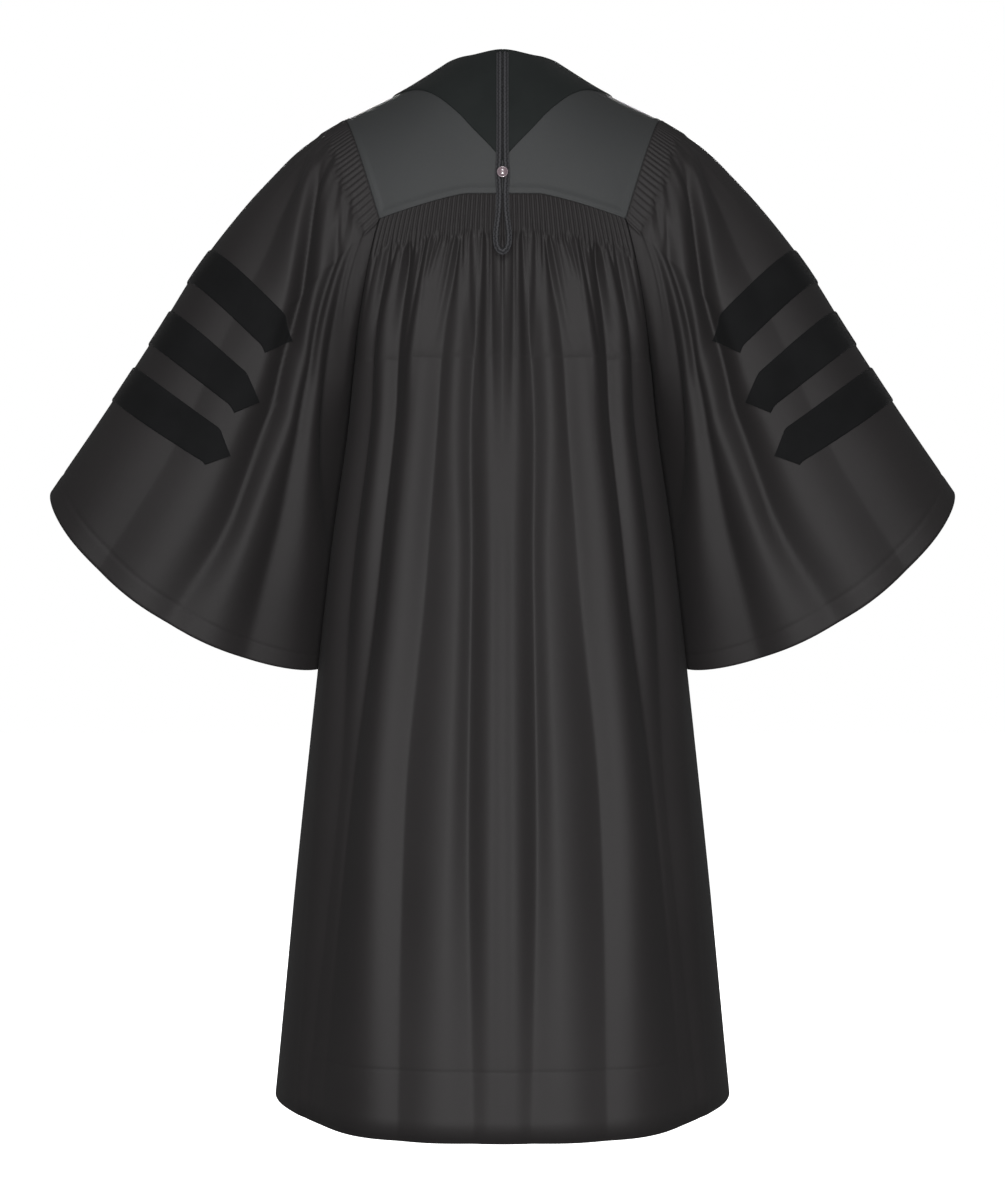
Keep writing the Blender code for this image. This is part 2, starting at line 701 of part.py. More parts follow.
def build_front(name, left):
    outer = []
    inner = []
    for level in FRONT_LEVELS:
        places = front_places(level)
        fluted = level in FRONT_FLUTE_LEVELS
        outer_row = []
        fine = evenly(0.0, 1.0, 2 * FRONT_FLUTES) if fluted else places
        for i, (place, across) in enumerate(front_stations(level, fine)):
            raised = fluted and i > VELVET_COLUMNS and (i - VELVET_COLUMNS) % 2
            point = front_point(across, level, FLUTE_HEIGHT if raised else 0.0)
            outer_row.append((place, front_side(point, across, level)))
        inner_row = []
        for place, across in front_stations(level, places):
            point = front_point(across, level) + torso_inward(1, across, level) * CLOTH
            inner_row.append((place, front_side(point, across, level)))
        outer.append((level, outer_row))
        inner.append((level, inner_row))
    return Cloth(name, mirror=left).build(outer, inner)


def front_side(point, across, level):
    """Leaves half the gap at a side seam."""
    if across == 1.0 and level >= 2:
        return point + Vector((0, GAP / 2, 0))
    return point


# Velvet facings

def build_velvet(name, left):
    """From the centre back over the shoulder and down the front, laid on the points of yoke and front."""
    rows = []
    for place, ray in enumerate(yoke_rays()):
        points = []
        for column, share in enumerate(ray_shares(ray)[: VELVET_COLUMNS + 1]):
            x, level = on_ray(ray, share)
            point, inward = yoke_face(max(x, GAP / 2), level)
            points.append((column, point, -inward))
        rows.append((place, points))
    for place, level in enumerate(FRONT_LEVELS[1:], len(rows)):
        points = []
        for column, across in enumerate(velvet_columns(level)):
            points.append((column, front_point(across, level), -torso_inward(1, across, level)))
        rows.append((place, points))
    outer = [(place, lifted(points, GAP + VELVET)) for place, points in rows]
    inner = [(place, lifted(points, GAP)) for place, points in rows]
    return Cloth(name, mirror=left).build(outer, inner)


def lifted(points, height):
    """(column, point) pairs, moved out from the cloth under them."""
    return [(column, point + outward * height) for column, point, outward in points]


# Sleeves

BAR_ROWS = tuple(sorted(BARS["upper_row"] + BARS["lower_row"]))
RING_PLACES = (0.155, 0.22, 0.29, 0.345) + BAR_ROWS + (0.85, 0.925, 1.0)
FLUTE_RINGS = (0.008, 0.062)
GATHER_RING = 0.10
TOP_ROUNDS = evenly(0.0, 0.54, BAR_STATIONS + 1)
PLAIN_TOP_FROM = 0.33


def slanted(row, round_place):
    """Place along the sleeve of a row, at a place round it."""
    rise = min(round_place / SLANT_PEAK, 1.0) ** 1.3 * (1 - ease(round_place, SLANT_PEAK, SLANT_END))
    window = ease(row, 0.10, 0.40) * (1 - ease(row, 0.78, 1.0))
    return row - SLANT * rise * window


def armhole_rounds(side):
    """Stations that a sleeve shares with the edges of yoke, back and front."""
    if side < 0:
        levels = list(ARMHOLE_STATIONS) + list(BACK_TOP_LEVELS) + list(BACK_UPPER_LEVELS)
    else:
        levels = [0.0] + [-level for level in FRONT_STATIONS] + [FRONT_SEAM_LEVEL]
        levels += list(FRONT_FLUTE_LEVELS) + list(FRONT_UPPER_LEVELS)
    return sorted(armhole_round(level) for level in levels)


def ring_rounds(along):
    """Stations round a half sleeve: evenly over the top, where the bars lie, and on each fold below it."""
    lines = fold_lines(SLEEVE_FOLDS, SLEEVE_FOLD_PLACES, along)
    places = between([place for place, _ in lines])
    if along < PLAIN_TOP_FROM:
        return unique(TOP_ROUNDS + places, 0.015)
    return TOP_ROUNDS + [place for place in places if place > TOP_ROUNDS[-1] + 0.012]


def flute_rounds():
    fluted = evenly(SLEEVE_FLUTES_FROM, SLEEVE_FLUTES_TO, 2 * SLEEVE_FLUTES)
    return [0.0] + fluted + evenly(SLEEVE_FLUTES_TO, 1.0, 5)[1:]


def around(stations_back, stations_front, point):
    """One closed row: down the back half from the ridge and up the front half."""
    row = [(r / 2, point(r, -1, i)) for i, r in enumerate(stations_back)]
    front = [(1 - r / 2, point(r, 1, i)) for i, r in enumerate(stations_front)]
    return row + [pair for pair in front[::-1] if 0.5001 < pair[0] < 0.9999]


def sleeve_seam_point(round_place, side):
    """The armhole edge moved out by the gap, and up as well towards the underarm."""
    return armhole(round_place, side) + Vector((GAP, 0, GAP * ease(round_place, 0.5, 1.0)))


def build_sleeve(name, left):
    back, front = armhole_rounds(-1), armhole_rounds(1)

    def seam_inner(r, side, _):
        return sleeve_seam_point(r, side) + seam_inward("sleeve", side, r) * CLOTH

    def fluted(along):
        def point(r, side, i):
            in_flutes = SLEEVE_FLUTES_FROM < r < SLEEVE_FLUTES_TO and i % 2 == 0
            return sleeve_point(along, r, side, FLUTE_HEIGHT if in_flutes else 0.0)

        return point

    def plain(row):
        return lambda r, side, i: sleeve_point(slanted(row, r), r, side)

    def inside(row):
        def point(r, side, i):
            along = slanted(row, r)
            return sleeve_point(along, r, side) + sleeve_inward(along, r, side) * CLOTH

        return point

    outer = [(0.0, around(back, front, lambda r, side, i: sleeve_seam_point(r, side)))]
    inner = [(0.0, around(back, front, seam_inner))]
    for along in FLUTE_RINGS:
        outer.append((along, around(flute_rounds(), flute_rounds(), fluted(along))))
        inner.append((along, around(ring_rounds(along), ring_rounds(along), inside(along))))
    for along in (GATHER_RING,) + RING_PLACES:
        rounds = ring_rounds(along)
        outer.append((along, around(rounds, rounds, plain(along))))
        inner.append((along, around(rounds, rounds, inside(along))))
    return Cloth(name, mirror=left).build(outer, inner, closed=True)


# Bars

def build_bar(name, upper, lower, left):
    """A velvet strip over the sleeve's top ridge, pointed at both ends, laid on the sleeve's own points."""
    rows = []
    for number in range(-BAR_STATIONS - 1, BAR_STATIONS + 2):
        side = -1 if number <= 0 else 1
        station = TOP_ROUNDS[abs(number)]
        edges = (upper, lower) if abs(number) <= BAR_STATIONS else (upper,)
        points = []
        for column, edge in enumerate(edges):
            along = slanted(edge, station)
            outward = -sleeve_inward(along, station, side)
            points.append((column, sleeve_point(along, station, side), outward))
        rows.append((number, points))
    outer = [(n, lifted(points, GAP + VELVET)) for n, points in rows]
    inner = [(n, lifted(points, GAP)) for n, points in rows]
    return Cloth(name, mirror=left).build(outer, inner)


# Cord and button

def back_face_y(x, height):
    """Depth of the torso's smooth back at a height, near the centre line."""
    top = smooth(SHOULDER, "half_width", abs(x), "height")
    if height >= SEAM_HEIGHT:
        fall = min(max((top - height) / (top - SEAM_HEIGHT), 0.0), 1.0)
        return -TORSO["back_depth"][-1] * sqrt(1 - (1 - fall) ** 2)
    return -smooth(TORSO, "height", height, "back_depth")


def cord_points():
    """The route's own points, down one strand, round the eye and up the other."""
    down = []
    for sideways, height, off in CORD_ROUTE:
        x = sideways / 1000
        slope = 0.0004
        rise = (back_face_y(x, height + slope) - back_face_y(x, height - slope)) / (2 * slope)
        outward = Vector((0, -1, rise)).normalized()
        down.append(Vector((x, back_face_y(x, height), height)) + outward * off / 1000)
    return [Vector((-p.x, p.y, p.z)) for p in down[:-1]] + [down[-1]] + down[-2::-1]


def curve_through(points, steps):
    """Points on a smooth curve through the route, steps to each stretch."""
    ends = [2 * points[0] - points[1]] + points + [2 * points[-1] - points[-2]]
    found = []
    for a, b, c, d in zip(ends, ends[1:], ends[2:], ends[3:]):
        for i in range(steps):
            t = i / steps
            square = (2 * a - 5 * b + 4 * c - d) * t**2
            cube = (3 * b - a - 3 * c + d) * t**3
            found.append(0.5 * (2 * b + (c - a) * t + square + cube))
    return found + [points[-1]]


def build_cord():
    curve = bpy.data.curves.new("hood_cord", "CURVE")
    curve.dimensions = "3D"
    curve.bevel_depth = CORD_DIAMETER / 2
    curve.bevel_resolution = 2
    curve.use_fill_caps = True
    route = curve_through(cord_points(), CORD_STEPS)
    spline = curve.splines.new("POLY")
    spline.points.add(len(route) - 1)
    for point, place in zip(spline.points, route):
        point.co = (*place, 1.0)
    cord = bpy.data.objects.new("hood_cord", curve)
    bpy.context.scene.collection.objects.link(cord)
    return cord


def build_button():
    """A domed button on a shank that stands between the strands."""
    face = back_face_y(0.0, BUTTON_HEIGHT)
    shank_start = 0.0012
    under = 0.0046 + CORD_DIAMETER / 2 + 2 * GAP + 0.0004
    rim = under + 0.0016
    profile = [(0.0, shank_start), (SHANK_RADIUS, shank_start), (SHANK_RADIUS, under)]
    profile += [(0.82 * BUTTON_RADIUS, under), (BUTTON_RADIUS, under + 0.0008)]
    for i in range(6):
        angle = radians(90) * i / 5
        profile.append((BUTTON_RADIUS * cos(angle), rim + (BUTTON_THICKNESS - 0.0016) * sin(angle)))
    mesh = bmesh.new()
    verts = [mesh.verts.new((radius, -off, 0.0)) for radius, off in profile]
    edges = [mesh.edges.new(ends) for ends in zip(verts, verts[1:])]
    bmesh.ops.spin(
        mesh, geom=verts + edges, cent=(0, 0, 0), axis=(0, 1, 0), angle=radians(360), steps=16
    )
    bmesh.ops.remove_doubles(mesh, verts=mesh.verts, dist=1e-6)
    bmesh.ops.recalc_face_normals(mesh, faces=mesh.faces)
    button = add_object("button", mesh)
    button.location = (0, face, BUTTON_HEIGHT)
    return button


# Materials

def material(name, colour, roughness, sheen=0.0):
    made = bpy.data.materials.new(name)
    made.use_nodes = True
    shader = made.node_tree.nodes["Principled BSDF"]
    shader.inputs["Base Color"].default_value = (*colour, 1.0)
    shader.inputs["Roughness"].default_value = roughness
    shader.inputs["Metallic"].default_value = 0.0
    shader.inputs["Sheen Weight"].default_value = sheen
    return made


def main():
    for old in list(bpy.data.objects):
        bpy.data.objects.remove(old)
    gown_cloth = material("gown_cloth", (0.030, 0.030, 0.031), 0.62, 0.2)
    velvet = material("velvet", (0.009, 0.010, 0.010), 0.9, 0.5)
    braid = material("braid", (0.045, 0.046, 0.050), 0.75)
    pearl = material("button", (0.30, 0.23, 0.25), 0.25)
    pieces = {gown_cloth: [build_yoke(), build_back()], velvet: []}
    pieces[braid] = [build_cord()]
    pieces[pearl] = [build_button()]
    for hand, left in (("left", True), ("right", False)):
        pieces[gown_cloth] += [build_front(f"front_{hand}", left), build_sleeve(f"sleeve_{hand}", left)]
        pieces[velvet].append(build_velvet(f"velvet_{hand}", left))
        for number, upper, lower in zip(*BARS.values()):
            pieces[velvet].append(build_bar(f"bar_{hand}_{number}", upper, lower, left))
    hanger = bpy.data.objects.new("shoulders", None)
    bpy.context.scene.collection.objects.link(hanger)
    hanger.location = (0, 0, -SHOULDER_HEIGHT)
    for made, members in pieces.items():
        for piece in members:
            piece.data.materials.append(made)
            piece.parent = hanger


main()
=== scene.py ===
"""Doctoral graduation gown, seen from behind: fine cloth over the solids, materials, light and camera.

Metres. Every piece is worked out in heights above the hem, then lowered by SHOULDER_HEIGHT into the frame.
"""

from math import pi, radians

import bpy
import numpy as np
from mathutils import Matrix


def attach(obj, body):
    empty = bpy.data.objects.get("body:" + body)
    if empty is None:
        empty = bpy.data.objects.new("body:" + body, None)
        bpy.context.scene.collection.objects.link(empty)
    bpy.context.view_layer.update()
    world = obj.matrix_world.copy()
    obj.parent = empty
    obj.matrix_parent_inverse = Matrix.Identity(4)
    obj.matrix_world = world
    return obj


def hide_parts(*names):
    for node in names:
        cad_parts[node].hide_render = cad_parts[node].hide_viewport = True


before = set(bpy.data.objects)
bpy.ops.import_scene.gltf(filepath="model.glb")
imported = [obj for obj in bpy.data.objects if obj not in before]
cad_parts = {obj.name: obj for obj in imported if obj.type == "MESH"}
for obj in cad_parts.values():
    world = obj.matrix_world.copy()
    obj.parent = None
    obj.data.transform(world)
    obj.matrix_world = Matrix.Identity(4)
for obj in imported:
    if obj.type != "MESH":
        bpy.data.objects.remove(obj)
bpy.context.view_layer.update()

# Driving dimensions, as in the solids
SHOULDER_HEIGHT = 1.330
SEAM_HEIGHT = 1.174
SEAM_DROP = 0.030
UNDERARM_HEIGHT = 0.965
SHOULDER_HALF = 0.2065
CORNER_HALF = 0.1553
ARMHOLE_DEPTH = 0.118
NECK_HALF = 0.075
NECK_BACK_DEPTH = 0.065
NECK_FRONT_LEVEL = 0.90
FRONT_YOKE_LEVEL = 0.55
HEM_SIDE_LIFT = 0.020
YOKE_SHARE = 0.46
GAP = 0.0003
FRONTS_MEET = 0.00002

# Cloth
CLOTH = 0.0010
VELVET = 0.0012
VELVET_RISE = 0.0016
EDGE_ROLL = 0.0022
YOKE_REACH = 1.004

# Fluting
BACK_FLUTES = 54
FRONT_FLUTES = 11
SLEEVE_FLUTES = 28
FLUTE_HEIGHT = 0.0024
SLEEVE_FLUTE_HEIGHT = 0.0020
SLEEVE_FLUTES_FROM = 0.05
SLEEVE_FLUTES_TO = 0.47

# Hems
HEM_STITCH_HEIGHT = 0.085
CUFF_STITCH = 0.045

# Cord and button
CORD_DIAMETER = 0.0076
BRAID_STRANDS = 4
BRAID_PITCH = 0.0058
BRAID_DEPTH = 0.0007
BUTTON_RADIUS = 0.0070
BUTTON_THICKNESS = 0.0042
BUTTON_HEIGHT = 1.199

# Camera: its distance behind the shoulders, its height above the hem, and its focal length
CAMERA_DISTANCE = 3.2
CAMERA_HEIGHT = 0.663
PHOTO_FOCAL_PX = 2431
PHOTO_HEIGHT_PX = 1195
SENSOR = 36.0

# Studio: light of the room, softboxes (place, target, size, power in watts), and the floor under the hem
ROOM_LIGHT = 0.17
LIGHTS = (
    ("softbox_above", (0.0, -2.6, 1.4), (0.0, 0.0, -0.4), (0.8, 0.9), 46),
    ("softbox_front", (0.0, -4.5, 0.2), (0.0, 0.0, -0.5), (1.6, 1.6), 28),
    ("softbox_low", (0.0, -3.2, -1.0), (0.0, 0.0, -1.25), (0.5, 0.5), 100),
    ("softbox_far", (0.0, 3.6, 0.9), (0.0, 0.0, -0.5), (2.0, 1.4), 150),
)
FLOOR_DROP = 0.30
FLOOR_REACH = 14.0
FLOOR_GLOW = 0.94


def table(columns, *rows):
    """A short table, kept as one array for each named column."""
    return {name: np.array([row[i] for row in rows], float) for i, name in enumerate(columns.split())}


# Smooth torso, level by level. A higher power squares off the garment's plan.
TORSO = table(
    "height  half_width  back_depth  front_depth  power",
    (0.000, 0.2965, 0.251, 0.225, 2.45),
    (0.300, 0.2695, 0.222, 0.200, 2.45),
    (0.570, 0.2415, 0.192, 0.172, 2.50),
    (0.730, 0.2235, 0.172, 0.156, 2.60),
    (0.900, 0.1990, 0.152, 0.140, 2.75),
    (0.965, 0.1935, 0.146, 0.135, 2.80),
    (1.174, 0.1553, 0.130, 0.122, 2.80),
)

# Height of the shoulder line above the hem, out from the centre
SHOULDER = table(
    "half_width  height",
    (-0.045, 1.3810),
    (0.000, 1.4000),
    (0.045, 1.3810),
    (0.075, 1.3610),
    (0.132, 1.3255),
    (0.2065, 1.2885),
    (0.260, 1.2600),
)

# Outer edge of the velvet. Levels are positive down the back and negative down the front.
VELVET_EDGE = table(
    "level  half_width",
    (-1.000, 0.125),
    (-0.550, 0.130),
    (-0.200, 0.143),
    (0.000, 0.145),
    (0.170, 0.131),
    (0.310, 0.110),
    (0.470, 0.086),
    (0.620, 0.0615),
    (0.740, 0.038),
    (0.8825, 0.000),
    (1.000, -0.034),
)

# Long folds of the back, out from the centre to the side seam. Each row is one ridge or crease: its place
# as a share of the half width, and its relief in millimetres, at six heights above the hem.
FOLD_HEIGHTS = (1.09, 1.00, 0.90, 0.70, 0.42, 0.00)
BACK_FOLDS = (
    ("centre", (0.00, 0.00, 0.00, 0.00, 0.00, 0.00), (-2.5, -3.0, 2.0, 9.0, 10.0, 5.0)),
    ("first ridge", (0.10, 0.10, 0.08, 0.05, 0.045, 0.04), (2.0, 3.5, 4.5, 7.8, 8.8, 4.4)),
    ("first crease", (0.19, 0.18, 0.20, 0.17, 0.165, 0.12), (-3.0, -6.0, -6.0, -5.0, -4.0, 0.5)),
    ("second ridge", (0.28, 0.295, 0.31, 0.255, 0.265, 0.28), (2.0, 3.0, 3.0, 3.0, 5.5, 5.0)),
    ("second crease", (0.34, 0.39, 0.41, 0.42, 0.47, 0.43), (-1.5, -3.0, -4.0, -4.5, -5.0, 0.0)),
    ("broad ridge", (0.58, 0.58, 0.565, 0.58, 0.61, 0.56), (3.5, 5.0, 6.5, 8.0, 7.5, 5.5)),
    ("deep crease", (0.69, 0.71, 0.70, 0.705, 0.76, 0.79), (-7.0, -10.0, -10.0, -11.0, -11.0, -9.0)),
    ("third ridge", (0.78, 0.81, 0.78, 0.79, 0.79, 0.82), (3.0, 2.0, 1.0, -3.0, -10.0, -9.5)),
    ("side crease", (0.855, 0.88, 0.87, 0.87, 0.82, 0.86), (-4.0, -6.0, -8.0, -10.0, -10.0, -9.0)),
    ("side ridge", (0.955, 0.955, 0.965, 0.955, 0.93, 0.90), (3.0, 4.0, 4.0, 3.0, 0.0, -6.0)),
    ("side seam", (1.00, 1.00, 1.00, 1.00, 1.00, 1.00), (0.0, 0.0, 0.0, 0.0, 0.0, 0.0)),
)

# Folds of a front, as a share of the way from the velvet's edge to the side seam
FRONT_FOLDS = (
    ("velvet edge", (0.00, 0.00, 0.00, 0.00, 0.00, 0.00), (0.0, 0.0, 0.0, 0.0, 0.0, 0.0)),
    ("first crease", (0.12, 0.13, 0.13, 0.12, 0.11, 0.10), (-2.0, -3.0, -4.0, -5.0, -4.0, -3.0)),
    ("first ridge", (0.26, 0.28, 0.29, 0.28, 0.27, 0.25), (2.0, 3.0, 5.0, 6.0, 7.0, 5.0)),
    ("deep crease", (0.42, 0.45, 0.47, 0.49, 0.50, 0.49), (-2.0, -4.0, -8.0, -10.0, -9.0, -5.0)),
    ("second ridge", (0.58, 0.61, 0.62, 0.64, 0.65, 0.64), (2.0, 3.0, 5.0, 6.0, 5.0, 3.0)),
    ("side crease", (0.74, 0.77, 0.77, 0.78, 0.79, 0.80), (-2.0, -3.0, -4.0, -4.0, -3.0, -2.0)),
    ("side ridge", (0.87, 0.89, 0.89, 0.90, 0.90, 0.90), (2.0, 3.0, 4.0, 5.0, 4.0, 2.0)),
    ("side seam", (1.00, 1.00, 1.00, 1.00, 1.00, 1.00), (0.0, 0.0, 0.0, 0.0, 0.0, 0.0)),
)

# Sleeve on the +X side, from the armhole (0) to the cuff (1)
SLEEVE = table(
    "along  ridge_x  ridge_z  low_x  low_z  half_depth  bulge",
    (0.000, 0.2065, 1.2885, 0.1940, 0.965, 0.118, 0.000),
    (0.097, 0.2575, 1.2560, 0.1985, 0.925, 0.122, 0.000),
    (0.189, 0.2990, 1.2160, 0.2020, 0.890, 0.124, 0.002),
    (0.276, 0.3360, 1.1765, 0.2055, 0.855, 0.126, 0.004),
    (0.437, 0.3980, 1.0970, 0.2145, 0.790, 0.128, 0.012),
    (0.585, 0.4470, 1.0190, 0.2220, 0.735, 0.130, 0.022),
    (0.800, 0.5205, 0.9070, 0.2312, 0.655, 0.128, 0.038),
    (1.000, 0.5910, 0.8046, 0.2402, 0.570, 0.122, 0.055),
)
BLEND_LENGTH = 0.40

# How far the lowest line of a sleeve lies in front of its top ridge
SLEEVE_LOW_FORWARD = 0.045

# Folds of a half sleeve, from its top ridge (0) round to its lowest line (1), at six places along it
SLEEVE_FOLD_PLACES = (0.08, 0.16, 0.30, 0.45, 0.68, 1.00)
SLEEVE_FOLDS = (
    ("top ridge", (0.00, 0.00, 0.00, 0.00, 0.00, 0.00), (0.0, 0.0, 0.0, 0.0, 0.0, 0.0)),
    ("first ridge", (0.05, 0.09, 0.17, 0.22, 0.25, 0.25), (1.0, 2.0, 2.0, 2.0, 2.0, 3.0)),
    ("first crease", (0.12, 0.22, 0.33, 0.37, 0.39, 0.36), (-3.0, -4.0, -3.0, -2.0, -3.0, -3.0)),
    ("second ridge", (0.16, 0.30, 0.45, 0.50, 0.50, 0.46), (3.0, 5.0, 6.0, 5.0, 6.0, 4.0)),
    ("deep crease", (0.22, 0.345, 0.52, 0.585, 0.59, 0.535), (-6.0, -13.0, -18.0, -19.0, -15.0, -6.0)),
    ("third ridge", (0.31, 0.43, 0.59, 0.635, 0.635, 0.62), (4.0, 6.0, 5.0, 5.0, 6.0, 5.0)),
    ("third crease", (0.36, 0.49, 0.625, 0.68, 0.71, 0.71), (-3.0, -4.0, -3.0, -4.0, -7.0, -6.0)),
    ("inner ridge", (0.39, 0.53, 0.665, 0.73, 0.80, 0.84), (3.0, 5.0, 6.0, 8.0, 9.0, 6.0)),
    ("inner crease", (0.45, 0.60, 0.74, 0.83, 0.95, 0.95), (-4.0, -7.0, -8.0, -4.0, 2.0, 2.0)),
    ("lowest line", (1.00, 1.00, 1.00, 1.00, 1.00, 1.00), (0.0, 0.0, 0.0, 0.0, 0.0, 0.0)),
)

# Rows of a sleeve slant towards the shoulder as they leave the top ridge, and the bars lie along them
SLANT = 0.112
SLANT_PEAK = 0.47
SLANT_END = 0.70

# Velvet bars: the rows of their two edges, how far round the shoulders of the point lie, and the tip
BARS = table(
    "number  upper_row  lower_row  shoulder_round  tip_along  tip_round",
    (1, 0.402, 0.484, 0.488, 0.293, 0.532),
    (2, 0.5535, 0.6365, 0.490, 0.453, 0.538),
    (3, 0.692, 0.776, 0.480, 0.602, 0.526),
)

# Gathers of the back under its fluting. Each runs from one share of the half width, at its top, to another,
# where it dies out. Ridges have positive relief and creases negative, in millimetres.
BACK_GATHERS = table(
    "start  end  end_height  width  relief",
    (0.020, 0.015, 1.020, 0.010, 1.5),
    (0.085, 0.057, 0.880, 0.016, 2.6),
    (0.118, 0.105, 1.020, 0.010, 1.2),
    (0.150, 0.143, 0.860, 0.022, -3.6),
    (0.195, 0.185, 1.050, 0.011, 1.4),
    (0.250, 0.195, 0.960, 0.018, 2.2),
    (0.280, 0.275, 1.075, 0.010, 1.6),
    (0.300, 0.270, 1.010, 0.013, -1.8),
    (0.318, 0.362, 1.020, 0.013, -2.8),
    (0.357, 0.455, 0.975, 0.020, 3.4),
    (0.405, 0.450, 1.050, 0.011, -1.6),
    (0.455, 0.530, 1.055, 0.014, 2.4),
    (0.500, 0.560, 1.050, 0.011, -1.8),
    (0.545, 0.608, 0.900, 0.020, 2.8),
    (0.578, 0.655, 0.930, 0.013, -3.4),
    (0.640, 0.660, 1.050, 0.013, 2.0),
    (0.704, 0.680, 1.040, 0.012, -3.2),
    (0.735, 0.752, 1.000, 0.016, 2.8),
    (0.790, 0.850, 1.030, 0.016, -2.8),
    (0.830, 0.815, 1.060, 0.011, 1.6),
    (0.890, 0.915, 0.930, 0.022, 3.0),
    (0.945, 0.950, 0.990, 0.014, -2.4),
)
FLUTES_END = 1.155
FLUTES_RAGGED = 0.018

# Small folds of a sleeve that run out of its fluting, from one place round it to another, where each dies out
SLEEVE_GATHERS = table(
    "start  end  end_along  width  relief",
    (0.070, 0.095, 0.15, 0.012, 1.0),
    (0.105, 0.150, 0.20, 0.012, -1.2),
    (0.135, 0.200, 0.26, 0.014, 1.4),
    (0.165, 0.280, 0.24, 0.012, -1.4),
    (0.195, 0.320, 0.22, 0.014, 1.6),
    (0.230, 0.400, 0.24, 0.012, -1.8),
    (0.262, 0.440, 0.27, 0.015, 1.8),
    (0.300, 0.440, 0.16, 0.012, -1.4),
    (0.330, 0.480, 0.18, 0.014, 2.0),
    (0.368, 0.600, 0.24, 0.013, -2.0),
    (0.400, 0.580, 0.19, 0.014, 1.8),
    (0.432, 0.640, 0.14, 0.012, -1.6),
)
SLEEVE_FLUTES_FADE = 0.052

# Route of one strand of the doubled cord: sideways in millimetres, height above the hem, and how far its
# middle lies off the torso's smooth face, in millimetres
CORD_ROUTE = (
    (4.0, 1.358, 6.8),
    (4.0, 1.340, 6.8),
    (4.0, 1.300, 6.4),
    (4.0, 1.245, 6.4),
    (4.4, 1.215, 6.4),
    (5.7, 1.199, 4.9),
    (4.6, 1.186, 5.4),
    (4.1, 1.170, 6.9),
    (4.8, 1.150, 7.2),
    (6.6, 1.134, 7.4),
    (8.2, 1.119, 8.0),
    (7.6, 1.107, 8.4),
    (4.4, 1.0995, 8.6),
    (0.0, 1.0970, 8.6),
)


def smooth(rows, place_column, place, value_column):
    """Values at places in a table, on a curve through its rows that never overshoots them."""
    places, values = rows[place_column], rows[value_column]
    place = np.clip(place, places[0], places[-1])
    slopes = np.diff(values) / np.diff(places)
    before, after = slopes[:-1], slopes[1:]
    total = np.where(before * after > 0, before + after, 1.0)
    inner = np.where(before * after > 0, 2 * before * after / total, 0.0)
    bends = np.concatenate((slopes[:1], inner, slopes[-1:]))
    i = np.clip(np.searchsorted(places, place) - 1, 0, len(places) - 2)
    width = places[i + 1] - places[i]
    t = (place - places[i]) / width
    start = (1 + 2 * t) * (1 - t) ** 2 * values[i] + t * (1 - t) ** 2 * width * bends[i]
    return start + t * t * (3 - 2 * t) * values[i + 1] - t * t * (1 - t) * width * bends[i + 1]


def mix(a, b, share):
    return a + (b - a) * share


def ease(value, start, end):
    """0 before start and 1 after end, with a soft change between them."""
    t = np.clip((value - start) / (end - start), 0.0, 1.0)
    return t * t * (3 - 2 * t)


def stack(x, y, z):
    return np.stack(np.broadcast_arrays(x, y, z), axis=-1)


# Torso

UNDERARM_HALF = smooth(TORSO, "height", UNDERARM_HEIGHT, "half_width")


def half_width(level):
    """Half the width of the torso at a level: 0 on the shoulder line, 1 at the yoke seam, 2 at the underarm."""
    yoke = mix(SHOULDER_HALF, CORNER_HALF, np.clip(level, 0, 1) ** 1.6)
    turn = (np.clip(level, 1, 2) - 1) * pi / 2
    chest = mix(CORNER_HALF, UNDERARM_HALF, np.sin(turn) ** 0.8)
    skirt = smooth(TORSO, "height", UNDERARM_HEIGHT * (3 - np.clip(level, 2, 3)), "half_width")
    return np.where(level <= 1, yoke, np.where(level <= 2, chest, skirt))


def plan_depth(across, centre_depth, edge_depth, power):
    """Depth at a share of the half width, on a rounded plan that has the edge's depth at its edge."""
    turned = (1 - (edge_depth / centre_depth) ** power) * abs(across) ** power
    return centre_depth * np.maximum(1 - turned, 0.0) ** (1 / power)


def seam_drop(across):
    """How far the back yoke seam lies below its middle."""
    return SEAM_DROP * np.maximum((abs(across) - 0.30) / 0.70, 0.0) ** 1.2


def torso(side, across, level):
    """Points on the torso's smooth outer face. side is -1 at the back and 1 at the front."""
    across, level = np.broadcast_arrays(np.asarray(across, float), np.asarray(level, float))
    depth_column = "back_depth" if side < 0 else "front_depth"
    x = across * half_width(level)
    turn = np.clip(level, 0, 1) * pi / 2
    depth = plan_depth(across, TORSO[depth_column][-1], ARMHOLE_DEPTH, TORSO["power"][-1])
    top = smooth(SHOULDER, "half_width", abs(x), "height")
    low = SEAM_HEIGHT - seam_drop(across)
    yoke = stack(x, side * depth * np.sin(turn), top - (top - low) * (1 - np.cos(turn)))

    turn = (np.clip(level, 1, 2) - 1) * pi / 2
    chest = mix(SEAM_HEIGHT - SEAM_DROP, UNDERARM_HEIGHT, np.sin(turn))
    chest = chest + (SEAM_DROP - seam_drop(across)) * (1 - np.sin(turn))
    fall = np.clip(level, 2, 3) - 2
    skirt = UNDERARM_HEIGHT * (1 - fall) + HEM_SIDE_LIFT * across**4 * fall**4
    height = np.where(level <= 2, chest, skirt)
    centre = smooth(TORSO, "height", height, depth_column)
    power = smooth(TORSO, "height", height, "power")
    body = stack(x, side * plan_depth(across, centre, ARMHOLE_DEPTH * np.cos(turn), power), height)
    return np.where((level <= 1)[..., None], yoke, body)


# Sleeve

def armhole(around, side):
    """Points on the armhole's edge on the +X side, from the shoulder line (0) to the underarm (1)."""
    yoke = around / YOKE_SHARE
    chest = 1 + (around - YOKE_SHARE) / (1 - YOKE_SHARE)
    return torso(side, 1.0, np.where(around <= YOKE_SHARE, yoke, chest))


